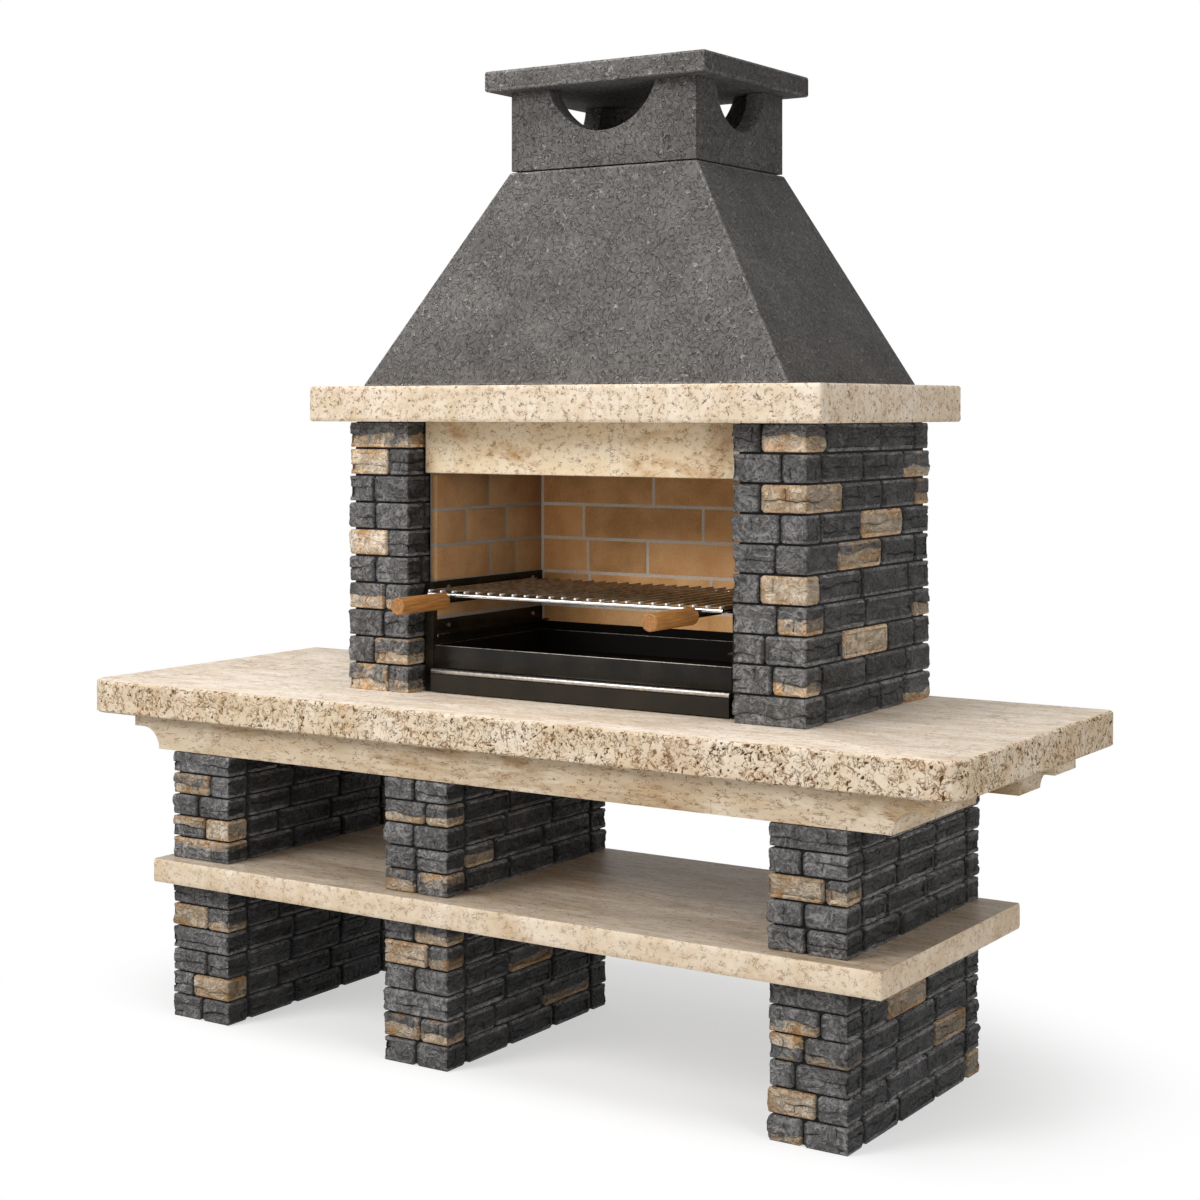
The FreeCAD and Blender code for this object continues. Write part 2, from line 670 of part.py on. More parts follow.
def handle(side, x):
    tang_front = f"({grip_back} - tang_seat)"
    node(rod(f"{side}_tang", (x, tang_front, tang_z), "tang_radius",
             f"{frame_front} + tang_back_reach - {tang_front}", ALONG_Y), f"{side}_handle_tang")
    label = f"{side}_handle_grip"
    body = doc.addObject("PartDesign::Body", label)
    sketch = new_sketch(body, "XY_Plane")
    bore = "(tang_radius + grip_bore_gap)"
    outline(sketch, [(bore, "0"), ("grip_radius - grip_nose / 2", "0"), ("grip_radius", "-grip_nose / 2"),
                     ("grip_radius", "-grip_length + grip_nose"), ("grip_radius - grip_nose", "-grip_length"),
                     ("0", "-grip_length"), ("0", "-tang_seat - grip_bore_gap"),
                     (bore, "-tang_seat - grip_bore_gap")])
    turned = body.newObject("PartDesign::Revolution", body.Name + "_turned")
    turned.Profile = sketch
    turned.ReferenceAxis = (sketch, ["V_Axis"])
    turned.Angle = 360
    place(body, x, grip_back, tang_z)
    return node(body, label)


handle("left", f"{frame_left} + handle_inset")
handle("right", f"{frame_right} - handle_inset")

# Every feature has to be sound before anything is written
doc.recompute()
for piece in doc.Objects:
    if {"Invalid", "Error"} & set(piece.State):
        raise RuntimeError(f"{piece.Name} failed: {piece.State}")
os.makedirs("parts", exist_ok=True)
for piece in nodes:
    if piece.Shape.isNull() or not piece.Shape.isValid():
        raise RuntimeError(f"{piece.Label} has no sound shape")
for piece in nodes:
    piece.Shape.exportStep(f"parts/{piece.Label}.step")
    print(piece.Label, len(piece.Shape.Solids), "solids", round(piece.Shape.Volume / 1000), "cm3")
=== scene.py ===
# %% [markdown]
# # A masonry barbecue, dressed over its construction model
# The construction model comes in first and stays as it is. It says where every piece sits and what slides.
# Over it go rough stones, pitted travertine, cast concrete, fire bricks and blackened steel. Each piece is
# shaped from a simple primitive, and takes its place from the node that it stands for.

# %% Load the frame
import math
import random

import bmesh
import bpy
import numpy as np
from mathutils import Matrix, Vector, noise


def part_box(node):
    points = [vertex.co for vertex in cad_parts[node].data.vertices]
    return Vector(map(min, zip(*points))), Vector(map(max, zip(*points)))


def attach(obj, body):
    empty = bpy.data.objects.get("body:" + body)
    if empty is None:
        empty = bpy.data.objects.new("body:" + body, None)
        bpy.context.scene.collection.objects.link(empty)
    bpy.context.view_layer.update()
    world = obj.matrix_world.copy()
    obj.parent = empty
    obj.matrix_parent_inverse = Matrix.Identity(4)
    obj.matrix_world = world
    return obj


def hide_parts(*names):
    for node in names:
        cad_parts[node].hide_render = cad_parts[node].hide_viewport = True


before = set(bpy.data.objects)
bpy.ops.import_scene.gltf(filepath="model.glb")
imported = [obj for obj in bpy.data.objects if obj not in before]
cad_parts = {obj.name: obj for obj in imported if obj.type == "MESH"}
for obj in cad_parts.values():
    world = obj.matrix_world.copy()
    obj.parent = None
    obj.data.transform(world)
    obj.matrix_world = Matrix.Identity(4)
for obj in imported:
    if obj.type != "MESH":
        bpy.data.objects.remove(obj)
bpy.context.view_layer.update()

MM = 0.001
noise.seed_set(1)  # noise_vector would else be shifted by the clock

# %% [markdown]
# ## Working by hand, in code
# An operator acts on whatever is selected, so every step first lets go of everything. Blocks start as cubes
# that fill the space between two corners, and faces or edges are picked by where they are, as a modeller
# would click them. A finished piece keeps its place in its mesh, so its object stays at the origin.

# %% Hands: select, start a block, apply a modifier
def deselect_all():
    if bpy.context.mode != "OBJECT":
        bpy.ops.object.mode_set(mode="OBJECT")
    bpy.ops.object.select_all(action="DESELECT")


def take(piece):
    """Makes one object the only selected and the active one."""
    deselect_all()
    piece.select_set(True)
    bpy.context.view_layer.objects.active = piece


def select(piece, kind, test):
    """Opens a piece in edit mode with the vertices, edges or faces selected that pass a test."""
    take(piece)
    bpy.ops.object.mode_set(mode="EDIT")
    bpy.ops.mesh.select_mode(type=kind)
    bpy.ops.mesh.select_all(action="DESELECT")
    mesh = bmesh.from_edit_mesh(piece.data)
    for element in {"VERT": mesh.verts, "EDGE": mesh.edges, "FACE": mesh.faces}[kind]:
        if test(element):
            element.select_set(True)
    mesh.select_flush_mode()
    bmesh.update_edit_mesh(piece.data)


def settle(piece):
    """Puts the place and size of an object into its mesh."""
    take(piece)
    bpy.ops.object.transform_apply(location=True, rotation=True, scale=True)
    return piece


def corners(node):
    """The low and the high corner of a node's box."""
    return [Vector(corner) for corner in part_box(node)]


def block(name, low, high):
    """Adds a cube that fills the space between two corners."""
    deselect_all()
    low, high = Vector(low), Vector(high)
    bpy.ops.mesh.primitive_cube_add(size=1, location=(low + high) / 2)
    piece = bpy.context.object
    piece.name = name
    piece.scale = high - low
    return settle(piece)


def drum(name, centre, radius, length, along, sides):
    """Adds a cylinder whose axis runs along x, y or z."""
    deselect_all()
    turn = {"x": (0, math.pi / 2, 0), "y": (math.pi / 2, 0, 0), "z": (0, 0, 0)}[along]
    bpy.ops.mesh.primitive_cylinder_add(vertices=sides, radius=radius, depth=length, location=centre, rotation=turn)
    piece = bpy.context.object
    piece.name = name
    return settle(piece)


def modify(piece, kind, **settings):
    """Adds a modifier and applies it at once."""
    take(piece)
    modifier = piece.modifiers.new(kind, kind)
    for name, value in settings.items():
        setattr(modifier, name, value)
    bpy.ops.object.modifier_apply(modifier=modifier.name)


def carve(piece, cutter):
    """Cuts one solid out of another and throws the cutter away."""
    modify(piece, "BOOLEAN", operation="DIFFERENCE", solver="EXACT", object=cutter)
    bpy.data.objects.remove(cutter)


def ease_edges(piece, width, segments=2, angle=30):
    modify(piece, "BEVEL", width=width, segments=segments, limit_method="ANGLE", angle_limit=math.radians(angle))


def smooth(piece, angle=35):
    take(piece)
    bpy.ops.object.shade_smooth_by_angle(angle=math.radians(angle))


def build_piece(name, parts, faces, known):
    """One object of many like parts: the points of each part, the faces of one, and attributes by point."""
    starts = range(0, len(parts) * len(parts[0]), len(parts[0]))
    mesh = bpy.data.meshes.new(name)
    mesh.from_pydata(np.concatenate(parts).tolist(), [],
                     [[start + corner for corner in face] for start in starts for face in faces])
    piece = bpy.data.objects.new(name, mesh)
    bpy.context.collection.objects.link(piece)
    for label, values in known.items():
        keep(piece, label, "POINT", np.concatenate(values))
    return piece


def keep(piece, label, domain, values):
    """Keeps a number for every point or face of a piece, which its material can read."""
    piece.data.attributes.new(label, "FLOAT", domain).data.foreach_set("value", np.asarray(values, np.float32))


def finish_piece(piece, material, body, slot, *nodes):
    """Gives a piece its material and the body that carries it, and hides the nodes that it stands for."""
    deselect_all()
    piece.data.materials.clear()
    piece.data.materials.append(material)
    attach(piece, body)
    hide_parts(*nodes)
    print(piece.name, len(piece.data.polygons), "faces on", body)


print("hands ready")

# %% [markdown]
# ## Writing materials
# Colours are written as they look on a screen and turned to linear light by one function. Patterns are given
# by a real size in millimetres, because the texture nodes count cells per metre. One function adds any node.

# %% Colour, pattern size and nodes
def colour(code):
    """Linear RGBA of an sRGB hex code, or of a plain grey between 0 and 1."""
    if not isinstance(code, str):
        return (code, code, code, 1.0)
    parts = [int(code[start:start + 2], 16) / 255 for start in (1, 3, 5)]
    return (*[part / 12.92 if part <= 0.04045 else ((part + 0.055) / 1.055) ** 2.4 for part in parts], 1.0)


def pattern(place, size, detail=2.0, roughness=0.5, distortion=0.0):
    """Inputs of a noise whose cells are so many millimetres wide."""
    return {"Vector": place, "Scale": 1000.0 / size, "Detail": detail, "Roughness": roughness,
            "Distortion": distortion}


def span(value, low, high, to_low=0.0, to_high=1.0):
    """Inputs of a node that maps one range of numbers to another."""
    return {"Value": value, "From Min": low, "From Max": high, "To Min": to_low, "To Max": to_high}


def output(source):
    """The socket that a node gives its result through, or the socket itself."""
    return next(socket for socket in source.outputs if socket.enabled) if hasattr(source, "outputs") else source


def add(tree, kind, inputs=(), stops=None, **settings):
    """Adds a shader node with its settings, its inputs and the colour stops of a ramp.

    An input is a value, a hex colour, a node or a socket. A list gives the inputs in their order.
    """
    shader_node = tree.nodes.new("ShaderNode" + kind)
    for name, value in settings.items():
        setattr(shader_node, name, value)
    for socket, value in inputs.items() if isinstance(inputs, dict) else enumerate(inputs):
        if isinstance(value, (bpy.types.Node, bpy.types.NodeSocket)):
            tree.links.new(output(value), shader_node.inputs[socket])
        else:
            shader_node.inputs[socket].default_value = colour(value) if isinstance(value, str) else value
    if stops:
        elements = shader_node.color_ramp.elements
        elements[0].position, elements[0].color = stops[0][0], colour(stops[0][1])
        elements[1].position, elements[1].color = stops[-1][0], colour(stops[-1][1])
        for position, shade in stops[1:-1]:
            elements.new(position).color = colour(shade)
    return shader_node


def new_material(name, **values):
    """Starts a material with the constant values of its shader. Gives also its nodes and a point's place."""
    material = bpy.data.materials.new(name)
    material.use_nodes = True
    tree = material.node_tree
    for socket, value in values.items():
        tree.nodes["Principled BSDF"].inputs[SHADER_SOCKETS[socket]].default_value = value
    return material, tree, add(tree, "TexCoord").outputs["Object"]


def connect(material, **results):
    """Links the results of the nodes to the shader of a material."""
    tree = material.node_tree
    for socket, source in results.items():
        tree.links.new(output(source), tree.nodes["Principled BSDF"].inputs[SHADER_SOCKETS[socket]])
    return material


def make_mottled(name, size, detail, dark, pale, gloss=None, **values):
    """A material of two tones, each with its stop, in a noise that can also change the gloss between two limits."""
    material, tree, place = new_material(name, **values)
    mark = add(tree, "TexNoise", pattern(place, size, detail))
    connect(material, base_color=add(tree, "ValToRGB", [mark], [dark, pale]))
    return connect(material, roughness=add(tree, "MapRange", span(mark, 0.3, 0.7, *gloss))) if gloss else material


SHADER_SOCKETS = {"base_color": "Base Color", "roughness": "Roughness", "normal": "Normal", "metallic": "Metallic",
                  "ior": "IOR", "specular": "Specular IOR Level"}
print("colour check, mid grey:", [round(part, 3) for part in colour("#808080")])

# %% [markdown]
# ## Cast ledge stone
# The piers are laid from cast blocks that copy riven slate: a gritty, wrinkled face in dark grey, and a few blocks
# stained ochre, most strongly along their rims. One material serves them all. It reads four attributes of the
# mesh: the tone of the block with its painted side shade, how stained it is, how near the rim a point lies, where
# the rim gets a painted highlight, and how deep in a cleft, where the cleft gets painted shade.

# %% Material: cast ledge stone
def make_ledge_stone():
    # Dry pigmented concrete: grey clouds some centimetres wide, worm-like wrinkles 30 mm apart whose crests are
    # painted paler and whose hollows darker as painted highlight and shade, and a finer grit of 7 mm. Along the
    # sides the pattern is drawn out in the direction of the courses.
    material, tree, grid = new_material("cast_ledge_stone", roughness=0.66, ior=1.5, specular=0.25)
    place = add(tree, "Mapping", {"Vector": grid, "Scale": (1.0, 0.5, 1.0)})
    read = {name: add(tree, "Attribute", attribute_name=name).outputs["Fac"]
            for name in ("tone", "ochre", "rim", "deep")}
    cloud = add(tree, "TexNoise", pattern(place, 50, 5.0, 0.6))
    wrinkle = add(tree, "TexNoise", pattern(place, 30, 2.5, 0.6, 1.3))
    crest = add(tree, "ValToRGB", [wrinkle], [(0.38, 0), (0.5, 1), (0.57, 0.1)])
    grit = add(tree, "TexNoise", pattern(place, 7, 3.0, 0.7))
    skin = add(tree, "Math", [crest, 0.5, grit], operation="MULTIPLY_ADD")
    stain = add(tree, "TexNoise", pattern(place, 45, 5.0, 0.65))
    grey = add(tree, "ValToRGB", [cloud], [(0.3, "#605e5d"), (0.5, "#737170"), (0.7, "#878584")])
    tan = add(tree, "ValToRGB", [cloud], [(0.3, "#b6a28a"), (0.48, "#d3c0a8"), (0.7, "#e8dac6")])
    blotch = add(tree, "MapRange", span(stain, 0.48, 0.62, 0.0, 0.6))
    rimmed = add(tree, "Math", [read["rim"], 0.4, blotch], operation="MULTIPLY_ADD", use_clamp=True)
    rusty = add(tree, "Mix", {0: rimmed, 6: tan, 7: "#bb8b52"}, data_type="RGBA")
    shifted = add(tree, "MapRange", span(stain, 0.3, 0.7, -0.3, 0.3))
    edge = add(tree, "Math", [read["rim"], 0.35, 1.0], operation="MULTIPLY_ADD")
    reach = add(tree, "Math", [read["ochre"], edge, shifted], operation="MULTIPLY_ADD")
    covered = add(tree, "MapRange", span(reach, 0.35, 0.7))
    body = add(tree, "Mix", {0: covered, 6: grey, 7: rusty}, data_type="RGBA")
    # Painted highlight and shade: the wrinkles' crests are painted paler and their hollows darker, over the grit
    grain = add(tree, "MapRange", span(skin, 0.35, 1.1, 0.3, 1.85))
    calm = add(tree, "MapRange", span(covered, 0.0, 1.0, 1.0, 0.5))
    apart = add(tree, "Math", [grain, 1.0], operation="SUBTRACT")
    grit_and_crest_light = add(tree, "Math", [apart, calm, 1.0], operation="MULTIPLY_ADD")
    # Painted shade: clefts, cracks and deep hollows are painted darker
    sunk = add(tree, "MapRange", span(read["deep"], 0.0, 1.0, 1.0, 0.3))
    # Painted highlight: the rims of the stones are painted paler
    grit_crest_and_rim_light = add(tree, "Math", [read["rim"], 0.15, grit_and_crest_light], operation="MULTIPLY_ADD")
    shade = add(tree, "Math", [grit_crest_and_rim_light, sunk], operation="MULTIPLY")
    own = add(tree, "Math", [read["tone"], shade], operation="MULTIPLY")
    toned = add(tree, "VectorMath", [body, own], operation="MULTIPLY")
    bump = add(tree, "Bump", {"Height": skin, "Strength": 1.0, "Distance": 10 * MM})
    return connect(material, base_color=toned, normal=bump)


ledge_stone = make_ledge_stone()
print(ledge_stone.name, len(ledge_stone.node_tree.nodes), "nodes")

# %% [markdown]
# ## One rough block, laid many times
# A block starts as a cube cut into a grid. Every laid stone is a copy of that grid: the outer cuts are moved close
# to the edges, so that the arrises can be rounded, and three cuts follow a wandering line round the block. That
# line becomes the split that riven slate shows, with a lip under it. Some stones have an upright crack too, from
# the split to an edge. Wide steps and small lumps come from noise.
# All of it goes inwards, so a stone never leaves the room that the construction model gives it.

# %% The master block
BLOCK_CUTS = (15, 17, 12)
deselect_all()
bpy.ops.mesh.primitive_cube_add(size=2)
master = bpy.context.object
for axis, cuts in enumerate(BLOCK_CUTS):
    select(master, "EDGE", lambda edge: abs(edge.verts[0].co[axis] - edge.verts[1].co[axis]) > 0.05)
    bpy.ops.mesh.subdivide(number_cuts=cuts)
deselect_all()
block_grid = np.array([vertex.co[:] for vertex in master.data.vertices])
block_cell = np.rint((block_grid + 1) / 2 * (np.array(BLOCK_CUTS) + 1)).astype(int)
block_faces = [face.vertices[:] for face in master.data.polygons]
bpy.data.objects.remove(master)
print("master block:", len(block_grid), "vertices,", len(block_faces), "faces")

# %% Splitting a face along its layers
LAYER_WIDE, LAYER_HIGH = 0.085, 0.030
JOINTS = np.array([2.6, 9.0, 5.0]) * MM  # between a front pair, along the side, between courses
SPLIT_CUT = 5  # the cut that becomes the split
SPLIT_HALF, SPLIT_DEPTH = 2.6 * MM, 9.0 * MM
CRACK_HALF, CRACK_DEPTH = 2.2 * MM, 7.0 * MM
CRACK_SWAY, CRACK_BEND = 3 * MM, 14 * MM  # how far a crack strays, and over what height
HOLLOW_FROM, HOLLOW_OVER = 7 * MM, 9 * MM  # painted shade begins on a face this deep
ARRIS_RIM = 0.29  # 1 less the greatest part of the outward direction, in the middle of an arris
DEEPEST = 12.5 * MM  # less than the depth at which the mortar core lies
CLEAVED_SHARE, CRACKED_SHARE = 0.72, 0.45  # of the stones


def terrace(value):
    """Turns a slope into flat steps with steep risers."""
    level = math.floor(value)
    part = min(max((value - level - 0.38) / 0.24, 0.0), 1.0)
    return level + part * part * (3 - 2 * part)


def cleft(spot, drift):
    """How far the riven face lies behind the plane that the block was cast in."""
    spot = Vector((spot.x, 0.5 * spot.y, spot.z))
    warp = 0.6 * noise.noise(spot * 22 + drift)
    layer = noise.noise(Vector((spot.x / LAYER_WIDE, spot.y / LAYER_WIDE, spot.z / LAYER_HIGH + warp)) + drift)
    lump = noise.noise(spot * 40 - drift)
    chip = noise.noise(spot * 110 + drift)
    return 2.6 * MM + 2.6 * MM * terrace(2.2 * layer) + 2.4 * MM * lump + 1.6 * MM * chip


def cut_places(half, arris, cuts):
    """Places of the cuts along one edge: two close to each end, the rest even."""
    even = np.linspace(arris - half, half - arris, cuts - 2)
    return np.concatenate([[-half, 0.35 * arris - half], even, [half - 0.35 * arris, half]])


def split_height(spot, share, drift):
    """Share of the block's height at which the split runs, wandering along the block."""
    along = spot[0] + spot[1]
    return share + 0.17 * noise.noise(Vector((along / 0.055, drift.y, 0))) \
        + 0.06 * noise.noise(Vector((along / 0.016, 0, drift.z)))


print("layers", LAYER_WIDE / MM, "x", LAYER_HIGH / MM, "mm")


# %% Shaping one stone
def rough_block(low, high, bare, dice):
    """Vertices of one laid stone and what is known of each: near the rim, deep, on a side face, under the split.

    bare says for x and for y whether the low and the high side are seen; only those are riven.
    """
    half = (np.array(high) - np.array(low) - JOINTS) / 2
    centre = (np.array(high) + np.array(low)) / 2
    arris = dice.uniform(6, 8.5) * MM
    drift = Vector([dice.uniform(-40, 40) for _ in range(3)])
    share = dice.uniform(0.3, 0.62)
    lip = dice.uniform(1.5, 5.5) * MM
    setback = dice.uniform(0, 4.5) * MM
    cleaved = 1.0 if dice.random() < CLEAVED_SHARE else 0.15
    columns = [dice.randrange(5, BLOCK_CUTS[axis] - 3) for axis in (0, 1)]
    broken = [dice.random() < CRACKED_SHARE for _ in (0, 1)]
    over = dice.random() < 0.5
    places = [cut_places(half[axis], arris, BLOCK_CUTS[axis]) for axis in range(3)]
    for place, column in zip(places, columns):
        step = min(CRACK_HALF, 0.8 * (place[column + 1] - place[column]))
        place[column - 1], place[column + 1] = place[column] - step, place[column] + step
    points = np.stack([places[axis][block_cell[:, axis]] for axis in range(3)], axis=1)
    row = block_cell[:, 2]
    top_row = BLOCK_CUTS[2] + 1
    split = np.array([split_height(centre + point, share, drift) for point in points])
    line = np.clip((2 * split - 1) * half[2], arris + 6 * MM - half[2], half[2] - arris - 9 * MM)
    foot, head = arris - half[2], half[2] - arris
    above = line + SPLIT_HALF + (head - line - SPLIT_HALF) * (row - SPLIT_CUT - 1) / (top_row - 3 - SPLIT_CUT)
    below = foot + (line - SPLIT_HALF - foot) * (row - 2) / (SPLIT_CUT - 3)
    moved = np.where(row >= SPLIT_CUT + 1, above, np.where(row == SPLIT_CUT, line, below))
    points[:, 2] = np.where((row >= 2) & (row <= top_row - 2), moved, points[:, 2])
    for axis, column in enumerate(columns):
        close = np.abs(block_cell[:, axis] - column) <= 1
        points[close, axis] += [CRACK_SWAY * noise.noise(Vector((z / CRACK_BEND, drift.x, drift.y)))
                                for z in points[close, 2]]
    inner = np.clip(points, arris - half, half - arris)
    outward = points - inner
    outward /= np.linalg.norm(outward, axis=1, keepdims=True)
    points = centre + inner + outward * arris
    riven = np.sqrt(sum(np.maximum(sign * outward[:, axis], 0) ** 2 for axis in (0, 1)
                        for sign, shown in zip((-1, 1), bare[axis]) if shown) + np.zeros(len(points)))
    opening = np.array([0.65 + 1.4 * noise.noise(Vector(((p[0] + p[1]) / 0.07, drift.x, 1))) for p in points])
    opening = cleaved * np.clip(opening, 0.0, 1.0)
    depth = np.array([cleft(Vector(point), drift) + setback for point in points])
    depth += opening * np.where(row == SPLIT_CUT, SPLIT_DEPTH, np.where(row < SPLIT_CUT, lip, 0.0))
    cracked = np.zeros(len(points))
    for axis, column in enumerate(columns):
        shown = (block_cell[:, axis] == column) & (np.abs(outward[:, 1 - axis]) > 0.9)
        cracked += broken[axis] * shown * (row > SPLIT_CUT if over else row < SPLIT_CUT)
    depth = np.clip(depth + CRACK_DEPTH * cracked, 0.3 * MM, DEEPEST)
    rim = 1 - np.abs(outward).max(axis=1)
    chipped = rim * dice.uniform(3, 8) * MM
    points -= outward * (depth * riven + chipped)[:, None]
    # deep is painted shade: the split, the cracks and the deepest hollows are painted dark
    hollow = (depth - setback - HOLLOW_FROM) / HOLLOW_OVER
    deep = np.clip(np.where(row == SPLIT_CUT, opening, cracked) + hollow, 0.0, 1.0)
    to_bed = half[2] - np.abs(points[:, 2] - centre[2])
    near = np.clip(np.maximum(rim / ARRIS_RIM, 1 - to_bed / (1.6 * arris)), 0.0, 1.0)
    # side is how much a point faces left, right or into the pier; these faces get painted shade
    side = outward[:, 0] ** 2
    for sign, shown in zip((-1, 1), bare[1]):
        side += 0 if shown else np.maximum(sign * outward[:, 1], 0) ** 2
    return points, {"rim": near, "deep": deep * riven, "side": side, "lower": row <= SPLIT_CUT}


print("stones are riven on their bare sides, up to", DEEPEST / MM, "mm deep")

# %% [markdown]
# ## Laying the courses
# Every course has one stone or a pair at the front, a short stone at the rear, and staggered stones between them.
# The courses are those of the construction model. Along the sides they are laid in more and shorter stones than
# there. The ochre list names the stained stones by course and place. A core of mortar closes the joints.

# %% Courses, front pairs and stained stones
DEPTH_RUNS = {  # shares of the depth, course by course from below, and then over again
    "pier": [(0.125, 0.25, 0.27, 0.24, 0.115), (0.12, 0.17, 0.29, 0.30, 0.12), (0.12, 0.235, 0.28, 0.25, 0.115)],
    "wall": [(0.165, 0.42, 0.19, 0.225), (0.13, 0.335, 0.325, 0.21), (0.29, 0.35, 0.22, 0.14),
             (0.15, 0.315, 0.39, 0.145), (0.11, 0.32, 0.375, 0.195), (0.255, 0.335, 0.28, 0.13),
             (0.125, 0.31, 0.33, 0.235), (0.285, 0.31, 0.275, 0.13), (0.13, 0.315, 0.33, 0.225),
             (0.165, 0.42, 0.28, 0.135)],
}
FRONT_PAIRS = {  # share of the width that the left stone of a front pair takes; 0 where one stone fills it
    "left_lower_pier": [0.52, 0.38, 0.6, 0, 0.62, 0],
    "middle_lower_pier": [0.5, 0.57, 0, 0.48, 0.67, 0.47],
    "right_lower_pier": [0.45, 0.6, 0.35, 0.45, 0.64, 0],
    "left_upper_pier": [0, 0.58, 0.45, 0.65, 0],
    "middle_upper_pier": [0.5, 0.5, 0.46, 0.63, 0.47],
    "right_upper_pier": [0.48, 0.45, 0.7, 0.43, 0],
    "firebox_left_wall": [0.65, 0.43, 0.57, 0.6, 0.44, 0.65, 0.44, 0.42, 0.65, 0],
    "firebox_right_wall": [0, 0.53, 0.44, 0.59, 0.38, 0.57, 0.63, 0.39, 0.65, 0.39],
}
OCHRE_PAINTED_LIGHT = {"pier": 0.82, "wall": 1.12}  # painted light: ochre stones are painted darker in the piers, in the worktop's shade, and lighter by the firebox
STONE_TONES = 0.84, 1.18  # the darkest stone and the palest
SIDE_SHADE = {"pier": 0.78, "wall": 0.7}  # painted shade: the sides are painted darker than the fronts, as if in shade
OCHRE = {  # by course and place
    "left_lower_pier": {(4, 0): 0.8, (4, 1): 0.5, (1, 1): 1.0},
    "middle_lower_pier": {(5, 1): 0.5, (4, 0): 0.85, (4, 1): 0.45, (1, 0): 0.6, (1, 1): 0.6, (3, 3): 0.5,
                          (1, 4): 0.4},
    "right_lower_pier": {(4, 0): 0.32, (3, 0): -0.65, (3, 1): 0.2, (1, 0): 0.9, (0, 0): 0.2, (4, 3): 0.95,
                         (2, 4): 0.9, (0, 5): 0.85},
    "left_upper_pier": {(3, 0): 0.75, (1, 0): -0.5, (1, 1): 0.8, (0, 0): -0.3},
    "middle_upper_pier": {(3, 0): 0.5, (3, 1): 0.6, (0, 0): 0.55, (0, 1): -0.2, (1, 2): 0.4},
    "right_upper_pier": {(2, 0): 0.95, (2, 1): 0.5},
    "firebox_left_wall": {(9, 0): 0.3, (8, 0): 1.0, (5, 0): 0.8, (3, 0): 0.45, (3, 1): 0.4, (1, 1): 0.65,
                          (0, 0): 0.75, (0, 1): 0.3},
    "firebox_right_wall": {(9, 1): 0.5, (8, 4): 0.6, (7, 1): 1.3, (7, 4): 0.6, (6, 3): 0.9, (5, 2): 0.7,
                           (4, 1): 0.9, (3, 1): 0.3, (3, 4): 0.5, (2, 2): 1.1, (1, 1): 0.3, (0, 3): 0.55},
}


def course_blocks(node):
    """Corners of every stone of a pier, with its course and its place in the course."""
    low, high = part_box(node)
    pairs = FRONT_PAIRS[node]
    runs = DEPTH_RUNS[node.rsplit("_", 1)[1]]
    rise = (high[2] - low[2]) / len(pairs)
    for course, share in enumerate(pairs):
        y, place = low[1], 0
        for run, part in enumerate(runs[course % len(runs)]):
            split = [low[0] + share * (high[0] - low[0])] if run == 0 and share else []
            edges = [low[0], *split, high[0]]
            far = y + part * (high[1] - low[1])
            foot = low[2] + course * rise if course else low[2] - 0.45 * JOINTS[2]
            for left, right in zip(edges, edges[1:]):
                yield course, place, (left, y, foot), (right, far, low[2] + (course + 1) * rise)
                place += 1
            y = far


print("stones to lay:", sum(len(list(course_blocks(node))) for node in FRONT_PAIRS))


# %% Lay the piers
def stained(stain, lower):
    """Stain of each vertex. A weak stain covers the part under the split, and a negative one the part over it."""
    if stain == 0 or stain >= 0.8:
        return np.full(len(lower), stain)
    kept = lower if stain > 0 else ~lower
    return np.where(kept, abs(stain) + 0.25, abs(stain) - 0.3)


def lay_pier(name, node):
    dice = random.Random(node)
    kind = node.rsplit("_", 1)[1]
    shade, ochre_painted_light = SIDE_SHADE[kind], OCHRE_PAINTED_LIGHT[kind]
    node_low, node_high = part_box(node)
    points, known = [], {"tone": [], "ochre": [], "rim": [], "deep": []}  # by stone
    for course, place, low, high in course_blocks(node):
        bare = [(low[axis] < node_low[axis] + MM, high[axis] > node_high[axis] - MM) for axis in (0, 1)]
        stone, facts = rough_block(low, high, bare, dice)
        points.append(stone)
        ochre = stained(OCHRE[node].get((course, place), 0.0), facts["lower"])
        # Painted shade: faces to the sides and into the pier are painted darker, ochre stones less so
        painted_side_shade = shade * facts["side"] * (1 - 0.45 * np.clip(ochre, 0, 1))
        # Painted light: ochre stones in the piers are darkened for the worktop's shade, and by the firebox
        # lightened
        known["tone"].append(dice.uniform(*STONE_TONES) * (1 - painted_side_shade) * np.where(ochre > 0.2, ochre_painted_light, 1.0))
        known["ochre"].append(ochre)
        for label in ("rim", "deep"):
            known[label].append(facts[label])
    pier = build_piece(name, points, block_faces, known)
    pier.data.polygons.foreach_set("use_smooth", [True] * len(pier.data.polygons))
    finish_piece(pier, ledge_stone, "root", "ledge_stone", node)


for node in FRONT_PAIRS:
    lay_pier(node.replace("_pier", "_stones").replace("_wall", "_wall_stones"), node)

# %% Mortar core behind the joints
def make_mortar():
    # Cement mortar: matt warm grey with sand of about a millimetre, drawn at 3 mm so that it shows.
    material, tree, place = new_material("cement_mortar", roughness=0.92)
    tone = add(tree, "Attribute", attribute_name="tone").outputs["Fac"]
    sand = add(tree, "TexNoise", pattern(place, 3, 3.0))
    base = add(tree, "ValToRGB", [sand], [(0.3, "#b3aa9c"), (0.7, "#d0c7ba")])
    body = add(tree, "VectorMath", [base, tone], operation="MULTIPLY")
    bump = add(tree, "Bump", {"Height": sand, "Strength": 0.5, "Distance": 0.8 * MM})
    return connect(material, base_color=body, normal=bump)


mortar = make_mortar()
